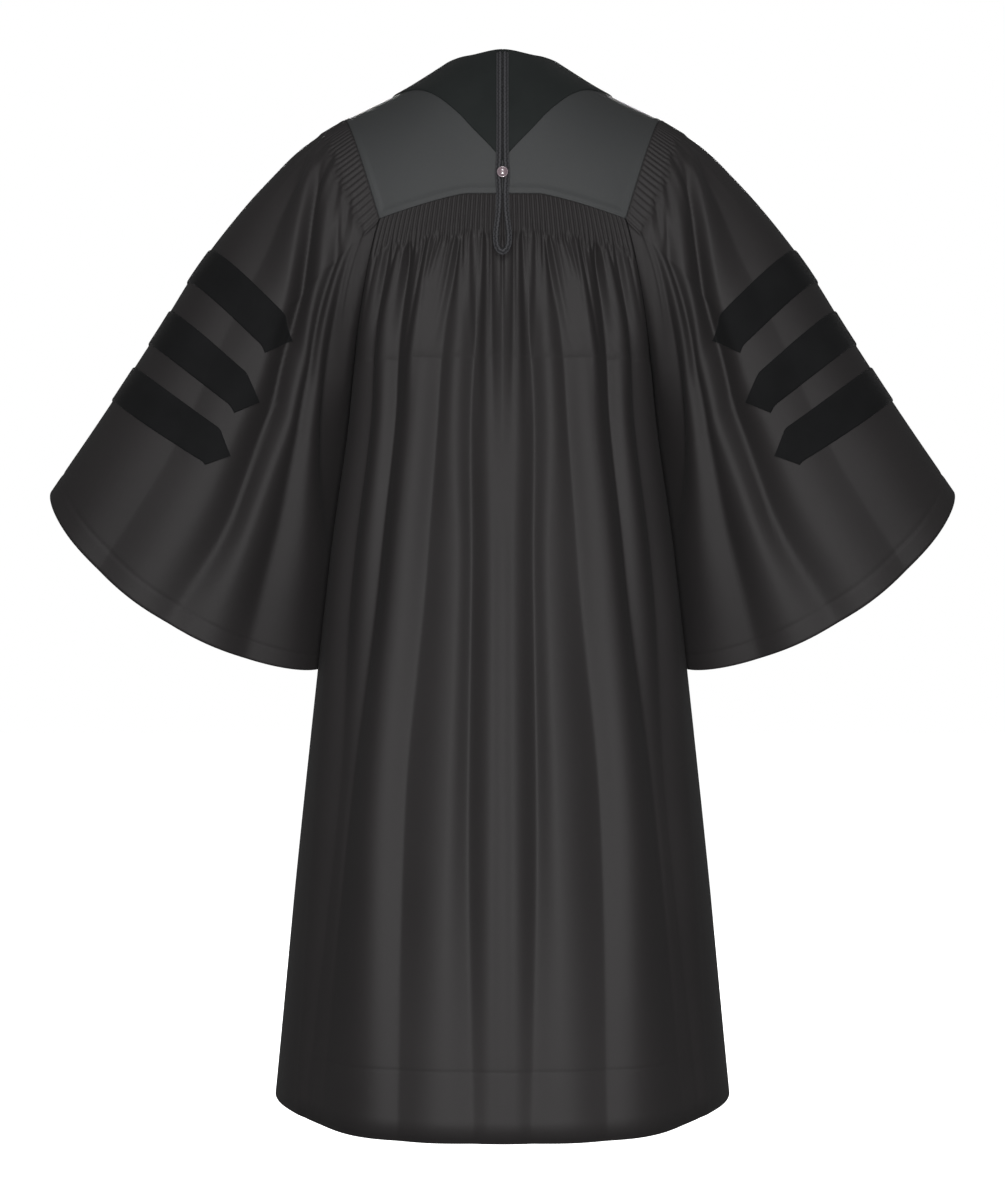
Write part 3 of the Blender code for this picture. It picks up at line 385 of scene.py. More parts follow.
def sleeve_ring(along, around, side):
    """Points on the plain rings of a sleeve, before they are drawn to the armhole."""
    value = {name: smooth(SLEEVE, "along", along, name) for name in SLEEVE}
    ridge = stack(value["ridge_x"], 0, value["ridge_z"])
    low = stack(value["low_x"], 0, value["low_z"])
    chord = low - ridge
    chord = chord / np.linalg.norm(chord, axis=-1, keepdims=True)
    outward = stack(-chord[..., 2], 0, chord[..., 0])
    outward = outward * -np.sign(outward[..., 2:])
    share = (1 - np.cos(pi * around)) / 2
    swell = np.maximum(np.sin(pi * around), 0.0)
    points = ridge + (low - ridge) * share[..., None] + outward * (value["bulge"] * swell**1.5)[..., None]
    forward = SLEEVE_LOW_FORWARD * share * ease(along, 0.0, 0.3)
    return stack(points[..., 0], side * value["half_depth"] * swell + forward, points[..., 2])


def sleeve_base(along, around, side):
    """Smooth outer face of the sleeve on the +X side: the armhole's shape, turning into the open bell."""
    along, around = np.broadcast_arrays(np.asarray(along, float), np.asarray(around, float))
    pull = 1 - ease(along, 0.0, BLEND_LENGTH)[..., None]
    shift = armhole(around, side) - sleeve_ring(np.zeros_like(along), around, side)
    return sleeve_ring(along, around, side) + shift * pull


def slanted(row, around):
    """Place along the sleeve of a row, at a place round it."""
    rise = np.minimum(around / SLANT_PEAK, 1.0) ** 1.3 * (1 - ease(around, SLANT_PEAK, SLANT_END))
    window = ease(row, 0.10, 0.40) * (1 - ease(row, 0.78, 1.0))
    return row - SLANT * rise * window


# Relief

def normals(points, closed=False):
    """Unit normals of a grid of points."""
    if closed:
        wide = np.concatenate((points[:, -1:], points, points[:, :1]), axis=1)
        across = (wide[:, 2:] - wide[:, :-2]) / 2
    else:
        across = np.gradient(points, axis=1)
    found = np.cross(across, np.gradient(points, axis=0))
    return found / np.maximum(np.linalg.norm(found, axis=-1, keepdims=True), 1e-12)


def away_from(centre, points, found):
    """The normals, turned as a whole so that they point away from a centre."""
    return found if np.sum(found * (points - centre)) > 0 else -found


def fold_relief(folds, heights, height, place):
    """Relief in metres between the folds: round over each ridge and tighter in each crease."""
    relief = np.zeros_like(place)
    lines = []
    for _, places, reliefs in folds:
        columns = table("height  place  relief", *sorted(zip(heights, places, reliefs)))
        lines.append([smooth(columns, "height", height, name) for name in ("place", "relief")])
    for (start, first), (end, last) in zip(lines, lines[1:]):
        t = np.clip((place - start) / np.maximum(end - start, 1e-6), 0.0, 1.0)
        rising = mix(first, last, np.sin(pi / 2 * t) ** 1.35)
        falling = mix(last, first, np.sin(pi / 2 * (1 - t)) ** 1.35)
        inside = (place >= start) & (place <= end)
        relief = np.where(inside, np.where(last > first, rising, falling), relief)
    return relief / 1000


def ridge_shape(distance, width):
    """A small rounded ridge."""
    return np.exp(-((distance / width) ** 2))


def flutes(place, count):
    """Tight round ridges with narrow creases between them, from 0 to 1."""
    return abs(np.sin(pi * count * place)) ** 0.7


def stitch_groove(distance, width=0.0022):
    """A shallow groove along a row of stitches."""
    return -0.0007 * np.exp(-((distance / width) ** 2))


def gather_lines(rows, reach, place, progress, begins):
    """Relief of small folds that start at once below a band of fluting and die out one by one."""
    relief = np.zeros_like(place)
    for start, end, ends_at, width, depth in zip(*rows.values()):
        travelled = np.clip((progress - reach) / (ends_at - reach), 0.0, 1.0)
        distance = place - mix(start, end, travelled)
        wide = width * mix(0.8, 1.5, travelled)
        relief = relief + depth * (1 - travelled) ** 0.8 * ridge_shape(distance, wide)
    return relief / 1000 * begins


def ragged(place, count):
    """An uneven run from -1 to 1 along a band of fluting."""
    return 0.6 * np.sin(0.37 * count * place + 0.6) + 0.4 * np.sin(1.13 * count * place)


def back_relief(across, level, height):
    place = abs(across)
    relief = fold_relief(BACK_FOLDS, FOLD_HEIGHTS, height, place) * ease(level, 1.05, 1.26)
    ends = FLUTES_END + FLUTES_RAGGED * ragged(place, BACK_FLUTES)
    top = SEAM_HEIGHT - 0.055
    relief = relief + gather_lines(BACK_GATHERS, top, place, height, ease(level, ends - 0.012, ends + 0.014))
    fluting = flutes((across + 1) / 2, BACK_FLUTES)
    band = ease(level, 1.0, 1.008) * (1 - ease(level, ends - 0.004, ends + 0.040))
    relief = relief + FLUTE_HEIGHT * (fluting - 0.2) * band
    return relief + stitch_groove(height - HEM_STITCH_HEIGHT)


def front_relief(across, level, height):
    edge = smooth(VELVET_EDGE, "level", -np.minimum(level, 1.0), "half_width") / half_width(level)
    share = (across - edge) / (1 - edge)
    strength = ease(level, FRONT_YOKE_LEVEL + 0.02, 1.10)
    relief = fold_relief(FRONT_FOLDS, FOLD_HEIGHTS, height, np.maximum(share, 0.0)) * strength
    band = ease(level, FRONT_YOKE_LEVEL, FRONT_YOKE_LEVEL + 0.012) * (1 - ease(level, 0.66, 0.80))
    relief = relief + FLUTE_HEIGHT * flutes(share, FRONT_FLUTES) * band * (share > 0)
    return relief + stitch_groove(height - HEM_STITCH_HEIGHT)


def sleeve_relief(along, around):
    relief = fold_relief(SLEEVE_FOLDS, SLEEVE_FOLD_PLACES, along, around) * ease(along, 0.04, 0.18)
    place = (around - SLEEVE_FLUTES_FROM) / (SLEEVE_FLUTES_TO - SLEEVE_FLUTES_FROM)
    ends = SLEEVE_FLUTES_FADE + 0.006 * ragged(around, 2 * SLEEVE_FLUTES)
    relief = relief + gather_lines(SLEEVE_GATHERS, 0.05, around, along, ease(along, ends - 0.004, ends + 0.010))
    fluting = flutes(place, SLEEVE_FLUTES) * ((place > 0) & (place < 1))
    band = ease(along, 0.0, 0.006) * (1 - ease(along, ends, ends + 0.020))
    relief = relief + SLEEVE_FLUTE_HEIGHT * fluting * band
    return relief + stitch_groove(along - (1 - CUFF_STITCH), 0.005)


# Surfaces: points and outward normals of a grid

def back_surface(across, level):
    base = torso(-1, across, level)
    out = away_from((0, 0, 0.7), base, normals(base))
    return base + out * back_relief(across, level, base[..., 2])[..., None], out


def front_surface(across, level):
    base = torso(1, across, level)
    out = away_from((0, 0, 0.7), base, normals(base))
    return base + out * front_relief(across, level, base[..., 2])[..., None], out


def sleeve_surface(along, around, side):
    """One half of the sleeve on the +X side."""
    base = sleeve_base(along, around, side)
    centre = (sleeve_base(along, np.zeros_like(around), side) + sleeve_base(along, np.ones_like(around), side)) / 2
    out = away_from(centre, base, normals(base))
    out[:, around[0] == 0, 1] = 0
    out[:, around[0] == 1, 1] = 0
    out = out / np.linalg.norm(out, axis=-1, keepdims=True)
    return base + out * sleeve_relief(along, around)[..., None], out


def edge_rise(share, width):
    """How far velvet stands off the cloth: a rolled edge at both sides of a strip of that width."""
    inset = np.minimum(share, 1 - share) * width
    return GAP + VELVET_RISE * np.sqrt(np.clip(inset / EDGE_ROLL, 0, 1))


def edged(count):
    """Stations from 0 to 1, close together at both ends."""
    rim = np.array([0, 0.004, 0.010, 0.018, 0.03, 0.05])
    return np.concatenate((rim, np.linspace(0.08, 0.92, count), 1 - rim[::-1]))


# Meshes

def lengths(points, axis):
    """Distance travelled along a grid, for its weave."""
    steps = np.linalg.norm(np.diff(points, axis=axis), axis=-1)
    start = np.zeros_like(np.take(steps, [0], axis=axis))
    return np.concatenate((start, np.cumsum(steps, axis=axis)), axis=axis)


def build(name, points, closed=False, mirror=False, thickness=CLOTH, outward=None, shade=None):
    """A thin shell through a grid of points, with its weave laid out in metres and a painted shade for each point."""
    points = points - np.array((0, 0, SHOULDER_HEIGHT))
    if mirror:
        points = points * np.array((-1, 1, 1))
        outward = outward * np.array((-1, 1, 1))
    rows, columns = points.shape[:2]
    u, v = lengths(points, 1), lengths(points, 0)
    index = np.arange(rows * columns).reshape(rows, columns)
    if closed:
        index = np.concatenate((index, index[:, :1]), axis=1)
        u = np.concatenate((u, u[:, -1:] + u[:, -1:] - u[:, -2:-1]), axis=1)
        v = np.concatenate((v, v[:, :1]), axis=1)
    corners = [np.s_[:-1, :-1], np.s_[:-1, 1:], np.s_[1:, 1:], np.s_[1:, :-1]]
    facing = np.cross(np.gradient(points, axis=1), np.gradient(points, axis=0))
    if np.sum(facing * outward) < 0:
        corners = corners[::-1]
    faces = np.stack([index[corner].ravel() for corner in corners], axis=-1)
    weave = np.stack([np.stack((u[corner].ravel(), v[corner].ravel()), axis=-1) for corner in corners], axis=1)
    mesh = bpy.data.meshes.new(name)
    mesh.from_pydata(points.reshape(-1, 3).tolist(), [], faces.tolist())
    mesh.uv_layers.new(name="weave").data.foreach_set("uv", weave.ravel())
    if shade is not None:
        mesh.attributes.new("shade", "FLOAT", "POINT").data.foreach_set("value", shade.ravel())
    mesh.shade_smooth()
    piece = bpy.data.objects.new(name, mesh)
    bpy.context.scene.collection.objects.link(piece)
    if thickness:
        shell = piece.modifiers.new("thickness", "SOLIDIFY")
        shell.thickness = thickness
        shell.offset = -1
    return piece


def side_spread(count, level):
    """Stations from -1 to 1, drawing together towards the side seams as the plan rounds off."""
    t = np.linspace(-1, 1, count)[None, :]
    return mix(t, np.sin(pi / 2 * t), 0.9 * ease(level, 1.0, 2.0))


def skirt_levels(first, heights):
    """Levels of the rows: those given, then ones for heights from the underarm to the hem."""
    stitch = HEM_STITCH_HEIGHT + np.array((0.006, 0.003, 0.0015, 0, -0.0015, -0.003, -0.006))
    heights = np.array(sorted(set(heights) | set(stitch), reverse=True))
    return np.concatenate((first, 3 - heights / UNDERARM_HEIGHT))[:, None]


SKIRT_HEIGHTS = np.linspace(0.945, 0.0, 36)


def build_back():
    top = np.concatenate((np.linspace(1.0, 1.02, 6), np.linspace(1.03, 1.25, 34), np.linspace(1.28, 2.0, 20)))
    level = skirt_levels(top, SKIRT_HEIGHTS)
    across = side_spread(8 * BACK_FLUTES + 1, level)
    level = np.broadcast_to(level, across.shape)
    points, out = back_surface(across, level)
    points[..., 1] -= (GAP / 2) * (abs(across) == 1) * (level >= 2)
    return build("gown_back", points, outward=out)


def build_front(name, left):
    top = np.linspace(FRONT_YOKE_LEVEL, 0.57, 5), np.linspace(0.58, 0.84, 20), np.linspace(0.86, 2.0, 36)
    level = skirt_levels(np.concatenate(top), SKIRT_HEIGHTS)
    start = front_edge(level) / half_width(level)
    edge = velvet_edge(-np.minimum(level, 1.0)) / half_width(level)
    under = np.linspace(0, 1, 12)[None, :-1]
    past = np.linspace(0, 1, 10 * FRONT_FLUTES + 1)[None, :]
    past = mix(past, np.sin(pi / 2 * past), 0.9 * ease(level, 1.0, 2.0))
    across = np.concatenate((mix(start, edge, under), mix(edge, 1.0, past)), axis=1)
    level = np.broadcast_to(level, across.shape)
    points, out = front_surface(across, level)
    points[..., 1] += (GAP / 2) * (across == 1) * (level >= 2)
    return build(name, points, mirror=left, outward=out)


def front_edge(level):
    """Half width at which a front starts: the neckline, then the centre line."""
    neck = NECK_HALF * (1 - np.clip(level / NECK_FRONT_LEVEL, 0, 1) ** 2.2)
    return np.maximum(neck, FRONTS_MEET)


def velvet_edge(level):
    return smooth(VELVET_EDGE, "level", level, "half_width")


def yoke_rays(fine):
    """(neck x, neck level, edge x, edge level) of rays on the +X side, from the centre back to the front seam."""
    k = np.linspace(0, 11, 11 * fine + 1)
    across = np.interp(k, range(7), (0.0, 0.17, 0.34, 0.50, 0.67, 0.84, 1.0))
    edge_level = np.interp(k, (6, 11), (1.0, 0.0))
    edge_x = np.where(k <= 6, across * CORNER_HALF, half_width(edge_level))
    angle = pi / 2 * k / 11
    neck_level = np.arcsin(NECK_BACK_DEPTH * np.cos(angle) / TORSO["back_depth"][-1]) * 2 / pi
    neck_x = NECK_HALF * np.sin(angle)
    level = np.linspace(0, -FRONT_YOKE_LEVEL, 4 * fine + 1)[1:]
    columns = (
        np.concatenate((neck_x, front_edge(-level))),
        np.concatenate((neck_level, level)),
        np.concatenate((edge_x, half_width(-level))),
        np.concatenate((edge_level, level)),
    )
    return np.stack(columns, axis=1)


def on_rays(rays, share):
    """(x, level) at shares along rays."""
    return mix(rays[:, 0:1], rays[:, 2:3], share), mix(rays[:, 1:2], rays[:, 3:4], share)


def yoke_points(x, level):
    """Points at signed levels: positive at the back, negative at the front."""
    across = x / half_width(abs(level))
    return np.where((level >= 0)[..., None], torso(-1, across, abs(level)), torso(1, across, abs(level)))


def build_yoke():
    rays = yoke_rays(10)
    share = np.concatenate((np.linspace(0, 0.96, 44), (0.97, 0.98, 0.988, 0.994, YOKE_REACH)))[None, :]
    half = yoke_points(*on_rays(rays, share))
    points = np.concatenate((half[:0:-1] * np.array((-1, 1, 1)), half))
    out = away_from((0, 0, 1.25), points, normals(points))
    lap = 0.0012 * ease(share, 0.955, 0.97)
    points = points + out * lap[..., None]
    return build("gown_yoke", points, outward=out)


def velvet_shares(rays):
    """Share of each ray at which the velvet ends."""
    low, high = np.zeros((len(rays), 1)), np.ones((len(rays), 1))
    for _ in range(40):
        middle = (low + high) / 2
        x, level = on_rays(rays, middle)
        inside = x < velvet_edge(level)
        low, high = np.where(inside, middle, low), np.where(inside, high, middle)
    return low


def build_velvet(name, left):
    """Facing from the centre back over the shoulder and down the front."""
    rays = yoke_rays(10)
    share = edged(20)[None, :]
    x, ray_level = on_rays(rays, share * velvet_shares(rays))
    yoke = yoke_points(np.maximum(x, GAP / 2), ray_level)
    level = skirt_levels(np.linspace(0.56, 2.0, 50), SKIRT_HEIGHTS)
    start = front_edge(level) / half_width(level)
    edge = velvet_edge(-np.minimum(level, 1.0)) / half_width(level)
    across = mix(start, edge, share)
    front = torso(1, across, np.broadcast_to(level, across.shape))
    points = np.concatenate((yoke, front))
    out = away_from((0, 0, 0.9), points, normals(points))
    points = points + out * edge_rise(share, 0.12)[..., None]
    return build(name, points, mirror=left, thickness=VELVET, outward=out)


def build_sleeve(name, left):
    half = np.concatenate((
        np.linspace(0, SLEEVE_FLUTES_FROM, 5)[:-1],
        np.linspace(SLEEVE_FLUTES_FROM, SLEEVE_FLUTES_TO, 5 * SLEEVE_FLUTES + 1),
        np.linspace(SLEEVE_FLUTES_TO, 1, 62)[1:],
    ))[None, :]
    rows = np.concatenate((np.linspace(0, 0.012, 5), np.linspace(0.016, 0.12, 30), np.linspace(0.127, 0.40, 40)))
    rows = np.concatenate((rows, np.linspace(0.42, 0.93, 24)))
    rows = np.concatenate((rows, np.linspace(0.94, 0.966, 9), (0.975, 0.985, 0.993, 1.0)))[:, None]
    along = np.broadcast_to(rows, (rows.shape[0], half.shape[1]))
    around = np.broadcast_to(half, along.shape)
    back, back_out = sleeve_surface(along, around, -1)
    front, front_out = sleeve_surface(along, around, 1)
    points = np.concatenate((back, front[:, -2:0:-1]), axis=1)
    out = np.concatenate((back_out, front_out[:, -2:0:-1]), axis=1)
    points[0, :, 0] += GAP
    return build(name, points, closed=True, mirror=left, outward=out)


def build_bar(name, row, left):
    """A pointed strip of velvet over the sleeve's top ridge."""
    upper, lower = BARS["upper_row"][row], BARS["lower_row"][row]
    shoulder, tip_along, tip_round = (BARS[name][row] for name in ("shoulder_round", "tip_along", "tip_round"))
    share = edged(14)[:, None]
    strips = []
    for side in (-1, 1):
        body = np.linspace(0, shoulder, 60)[None, :]
        point = np.linspace(0, 1, 14)[None, 1:]
        around = np.broadcast_to(body, (share.shape[0], body.shape[1]))
        along = mix(slanted(upper, body), slanted(lower, body), share)
        end_along = mix(along[:, -1:], tip_along, point)
        end_around = mix(np.full_like(share, shoulder), tip_round, point)
        grid = np.concatenate((along, end_along), axis=1), np.concatenate((around, end_around), axis=1)
        strips.append(bar_points(*grid, side))
    (back, back_out), (front, front_out) = strips
    points = np.concatenate((back[:, ::-1], front[:, 1:]), axis=1)
    out = np.concatenate((back_out[:, ::-1], front_out[:, 1:]), axis=1)
    points = points + out * edge_rise(share, 0.050)[..., None]
    return build(name, points, mirror=left, thickness=VELVET, outward=out)


def bar_points(along, around, side):
    """Points and normals of the sleeve under a strip of velvet, on a grid that isn't square to it."""
    step = 0.003
    base = sleeve_base(along, around, side)
    round_way = sleeve_base(along, around + step, side) - sleeve_base(along, np.maximum(around - step, 0), side)
    long_way = sleeve_base(along + step, around, side) - sleeve_base(along - step, around, side)
    out = np.cross(round_way, long_way)
    out[:, 0, 1] = 0
    out = out / np.linalg.norm(out, axis=-1, keepdims=True)
    centre = (sleeve_base(along, np.zeros_like(around), side) + sleeve_base(along, np.ones_like(around), side)) / 2
    out = away_from(centre, base, out)
    return base + out * sleeve_relief(along, around)[..., None], out


# Cord and button

def back_face_y(x, height):
    """Depth of the torso's smooth back at a height, near the centre line."""
    top = smooth(SHOULDER, "half_width", abs(x), "height")
    fall = np.clip((top - height) / (top - SEAM_HEIGHT), 0.0, 1.0)
    yoke = TORSO["back_depth"][-1] * np.sqrt(1 - (1 - fall) ** 2)
    return -np.where(height >= SEAM_HEIGHT, yoke, smooth(TORSO, "height", height, "back_depth"))


def cord_path(steps):
    """Points down one strand, round the eye and up the other, on a smooth curve through the route."""
    sideways, height, off = np.array(CORD_ROUTE).T
    x, slope = sideways / 1000, 0.0004
    rise = (back_face_y(x, height + slope) - back_face_y(x, height - slope)) / (2 * slope)
    outward = stack(0 * x, -1.0, rise)
    outward = outward / np.linalg.norm(outward, axis=-1, keepdims=True)
    down = stack(x, back_face_y(x, height), height) + outward * off[:, None] / 1000
    route = np.concatenate((down[:-1] * np.array((-1, 1, 1)), down[::-1]))
    ends = np.concatenate(([2 * route[0] - route[1]], route, [2 * route[-1] - route[-2]]))
    a, b, c, d = (ends[i : len(ends) - 3 + i, None] for i in range(4))
    t = np.linspace(0, 1, steps, endpoint=False)[None, :, None]
    curve = 0.5 * (2 * b + (c - a) * t + (2 * a - 5 * b + 4 * c - d) * t**2 + (3 * b - a - 3 * c + d) * t**3)
    return np.concatenate((curve.reshape(-1, 3), route[-1:]))


def evenly_spaced(path, step):
    """The path again, with points a step apart."""
    travelled = lengths(path[None], 1)[0]
    places = np.linspace(0, travelled[-1], int(travelled[-1] / step) + 1)
    return np.stack([np.interp(places, travelled, path[:, i]) for i in range(3)], axis=-1), places


def braid(turn, along):
    """Relief from -1 to 1 of a round braid: two families of strands that pass over and under each other."""
    u = BRAID_STRANDS * turn / (2 * pi) + along / BRAID_PITCH
    v = -BRAID_STRANDS * turn / (2 * pi) + along / BRAID_PITCH
    over = np.sin(pi * (u % 1)) ** 0.7 * (0.62 + 0.38 * np.cos(pi * (v + np.floor(u))))
    under = np.sin(pi * (v % 1)) ** 0.7 * (0.62 + 0.38 * np.cos(pi * (u + np.floor(v) + 1)))
    return 2 * np.maximum(over, under) - 1


def build_cord():
    path, places = evenly_spaced(cord_path(24), 0.0007)
    ahead = np.gradient(path, axis=0)
    ahead = ahead / np.linalg.norm(ahead, axis=-1, keepdims=True)
    sideways = np.cross(ahead, (0.0, 1.0, 0.0))
    sideways = sideways / np.linalg.norm(sideways, axis=-1, keepdims=True)
    outward = np.cross(sideways, ahead)
    turn = np.linspace(0, 2 * pi, 32, endpoint=False)[None, :]
    closing = np.minimum(places, places[-1] - places)[:, None]
    cap = np.sqrt(np.clip(closing / 0.002, 0.0, 1.0))
    strands = braid(turn, places[:, None])
    radius = (CORD_DIAMETER / 2 - BRAID_DEPTH / 2 + BRAID_DEPTH * strands) * cap
    ring = sideways[:, None] * np.cos(turn)[..., None] + outward[:, None] * np.sin(turn)[..., None]
    points = path[:, None] + ring * radius[..., None]
    # The braid's relief also goes on as painted shade, darker in the gaps between the strands.
    cord = build("braided_cord", points, closed=True, thickness=0, outward=ring, shade=strands / 2 + 0.5)
    path = path - np.array((0, 0, SHOULDER_HEIGHT))
    return cord


def build_button():
    """A domed button with a turned rim, on its shank."""
    under = 0.0046 + CORD_DIAMETER / 2 + 2 * GAP + 0.0004
    profile = [(0.0, 0.0012), (0.0014, 0.0012), (0.0014, under), (0.0055, under), (0.0066, under + 0.0003)]
    profile += [(0.0070, under + 0.0010), (0.00695, under + 0.0016), (0.0066, under + 0.0020)]
    profile += [(0.0061, under + 0.0021), (0.0058, under + 0.0020)]
    for angle in np.linspace(radians(24), radians(90), 10):
        profile.append((0.0061 * np.cos(angle), under + 0.0010 + 0.0032 * np.sin(angle)))
    radius, off = np.array(profile).T
    turn = np.linspace(0, 2 * pi, 64, endpoint=False)[None, :]
    face = back_face_y(0.0, BUTTON_HEIGHT)
    points = stack(
        radius[:, None] * np.cos(turn), face - off[:, None] + 0 * turn, BUTTON_HEIGHT + radius[:, None] * np.sin(turn)
    )
    out = stack(np.cos(turn), 0.0, np.sin(turn)) + np.zeros_like(points)
    return build("shank_button", points, closed=True, thickness=0, outward=out)


# Materials

class Nodes:
    """Short calls for building a node tree."""

    def __init__(self, name):
        self.material = bpy.data.materials.new(name)
        self.material.use_nodes = True
        self.tree = self.material.node_tree
        self.shader = self.tree.nodes["Principled BSDF"]

    def add(self, kind, settings=None, **inputs):
        node = self.tree.nodes.new(kind)
        for key, value in (settings or {}).items():
            setattr(node, key, value)
        for key, value in inputs.items():
            self.put(node, key.replace("_", " "), value)
        return node

    def put(self, node, socket, value):
        socket = int(socket) if socket.isdigit() else socket
        if isinstance(value, bpy.types.NodeSocket):
            self.tree.links.new(value, node.inputs[socket])
        else:
            node.inputs[socket].default_value = value

    def math(self, operation, a, b=0.0):
        node = self.tree.nodes.new("ShaderNodeMath")
        node.operation = operation
        self.put(node, "0", a)
        self.put(node, "1", b)
        return node.outputs[0]

    def noise(self, scale, vector, detail=3.0, roughness=0.55):
        node = self.add("ShaderNodeTexNoise", None, Scale=scale, Detail=detail, Roughness=roughness)
        self.tree.links.new(vector, node.inputs["Vector"])
        return node.outputs["Fac"]

    def ramp(self, value, low, high):
        """A value from 0 to 1 turned into a colour between two others."""
        node = self.add("ShaderNodeMix", {"data_type": "RGBA"})
        self.tree.links.new(value, node.inputs[0])
        node.inputs[6].default_value = (*low, 1)
        node.inputs[7].default_value = (*high, 1)
        return node.outputs[2]

    def weave(self, pitch):
        """Threads over and under each other, laid out on the cloth in metres."""
        layout = self.add("ShaderNodeUVMap", {"uv_map": "weave"}).outputs[0]
        split = self.add("ShaderNodeSeparateXYZ")
        self.tree.links.new(layout, split.inputs[0])
        warp = self.math("SINE", self.math("MULTIPLY", split.outputs[0], 2 * pi / pitch))
        weft = self.math("SINE", self.math("MULTIPLY", split.outputs[1], 2 * pi / pitch))
        return self.math("MULTIPLY", warp, weft)

    def bump(self, height, distance, strength=1.0, normal=None):
        node = self.add("ShaderNodeBump", None, Strength=strength, Distance=distance)
        self.tree.links.new(height, node.inputs["Height"])
        if normal is not None:
            self.tree.links.new(normal, node.inputs["Normal"])
        return node.outputs[0]

    def object_place(self):
        return self.add("ShaderNodeTexCoord").outputs["Object"]


def gown_cloth(name, dark, light):
    """Black polyester: a fine even weave with a soft lustre, between two colours."""
    n = Nodes(name)
    weave = n.weave(0.0011)
    place = n.object_place()
    broad = n.noise(3.5, place, 2.0)
    fine = n.noise(900.0, place, 2.0)
    mottled = n.math("ADD", n.math("MULTIPLY", broad, 0.45), n.math("MULTIPLY", fine, 0.55))
    n.put(n.shader, "Base Color", n.ramp(mottled, dark, light))
    n.put(n.shader, "Roughness", n.math("ADD", n.math("MULTIPLY", broad, 0.10), 0.52))
    n.shader.inputs["Specular IOR Level"].default_value = 0.17
    n.shader.inputs["Sheen Weight"].default_value = 0.01
    n.shader.inputs["Sheen Roughness"].default_value = 0.5
    threads = n.bump(n.math("ADD", weave, n.math("MULTIPLY", fine, 0.6)), 0.00012, 0.4)
    creases = n.bump(n.noise(14.0, place, 4.0), 0.0014, 0.22, threads)
    n.put(n.shader, "Normal", creases)
    return n.material


def velvet(name, dark, light):
    """Deep black pile, brushed a little unevenly, between two colours."""
    n = Nodes(name)
    place = n.object_place()
    pile = n.noise(1400.0, place, 2.0)
    brushed = n.noise(18.0, place, 3.0)
    n.put(n.shader, "Base Color", n.ramp(brushed, dark, light))
    n.shader.inputs["Roughness"].default_value = 0.95
    n.shader.inputs["Specular IOR Level"].default_value = 0.04
    n.shader.inputs["Sheen Weight"].default_value = 0.04
    n.shader.inputs["Sheen Roughness"].default_value = 0.35
    n.put(n.shader, "Normal", n.bump(n.math("ADD", pile, n.math("MULTIPLY", brushed, 0.8)), 0.0006, 0.6))
    return n.material


def cord_braid():
    """Dark grey braided yarn, with painted shade that darkens it between its strands."""
    n = Nodes("cord_yarn")
    place = n.object_place()
    yarn = n.noise(2200.0, place, 2.0)
    painted_strand_shade = n.add("ShaderNodeAttribute", {"attribute_name": "shade"}).outputs["Fac"]
    # Painted shade: the base colour darkens where the braid dips between its strands, on top of the yarn's own random
    # tone.
    mottled = n.math("MULTIPLY", painted_strand_shade, n.math("ADD", n.noise(700.0, place), 0.45))
    n.put(n.shader, "Base Color", n.ramp(mottled, (0.002, 0.002, 0.0025), (0.042, 0.042, 0.045)))
    n.shader.inputs["Roughness"].default_value = 0.8
    n.shader.inputs["Specular IOR Level"].default_value = 0.10
    n.shader.inputs["Sheen Weight"].default_value = 0.02
    n.put(n.shader, "Normal", n.bump(yarn, 0.0003, 0.5))
    return n.material


def button_shell():
    """Polished mauve-grey plastic with a pearly cloud in it."""
    n = Nodes("button_pearl")
    place = n.object_place()
    cloud = n.noise(420.0, place, 3.0)
    n.put(n.shader, "Base Color", n.ramp(cloud, (0.090, 0.066, 0.074), (0.165, 0.122, 0.138)))
    n.shader.inputs["Roughness"].default_value = 0.24
    n.shader.inputs["Coat Weight"].default_value = 0.5
    n.shader.inputs["Coat Roughness"].default_value = 0.08
    n.put(n.shader, "Normal", n.bump(n.noise(90.0, place), 0.0003, 0.15))
    return n.material


def floor_white():
    """Pale studio floor that glows a little, so that it stays as light as the backdrop."""
    n = Nodes("studio_floor")
    place = n.object_place()
    n.put(n.shader, "Base Color", n.ramp(n.noise(0.6, place), (0.88, 0.88, 0.88), (0.92, 0.92, 0.92)))
    n.shader.inputs["Roughness"].default_value = 0.9
    n.shader.inputs["Specular IOR Level"].default_value = 0.1
    n.shader.inputs["Emission Color"].default_value = (1, 1, 1, 1)
    n.shader.inputs["Emission Strength"].default_value = FLOOR_GLOW
    return n.material


# Studio

def build_camera():
    data = bpy.data.cameras.new("photo_camera")
    data.sensor_width = SENSOR
    data.lens = PHOTO_FOCAL_PX * SENSOR / PHOTO_HEIGHT_PX
    camera = bpy.data.objects.new("photo_camera", data)
    camera.location = (0, -CAMERA_DISTANCE, CAMERA_HEIGHT - SHOULDER_HEIGHT)
    camera.rotation_euler = (radians(90), 0, 0)
    bpy.context.scene.collection.objects.link(camera)
    bpy.context.scene.camera = camera


def build_light(name, place, target, size, power):
    data = bpy.data.lights.new(name, "AREA")
    data.shape = "RECTANGLE"
    data.size, data.size_y = size
    data.energy = power
    light = bpy.data.objects.new(name, data)
    light.location = place
    way = np.array(target, float) - np.array(place, float)
    light.rotation_euler = (np.arctan2(np.hypot(way[0], way[1]), -way[2]), 0, np.arctan2(-way[0], way[1]))
    bpy.context.scene.collection.objects.link(light)


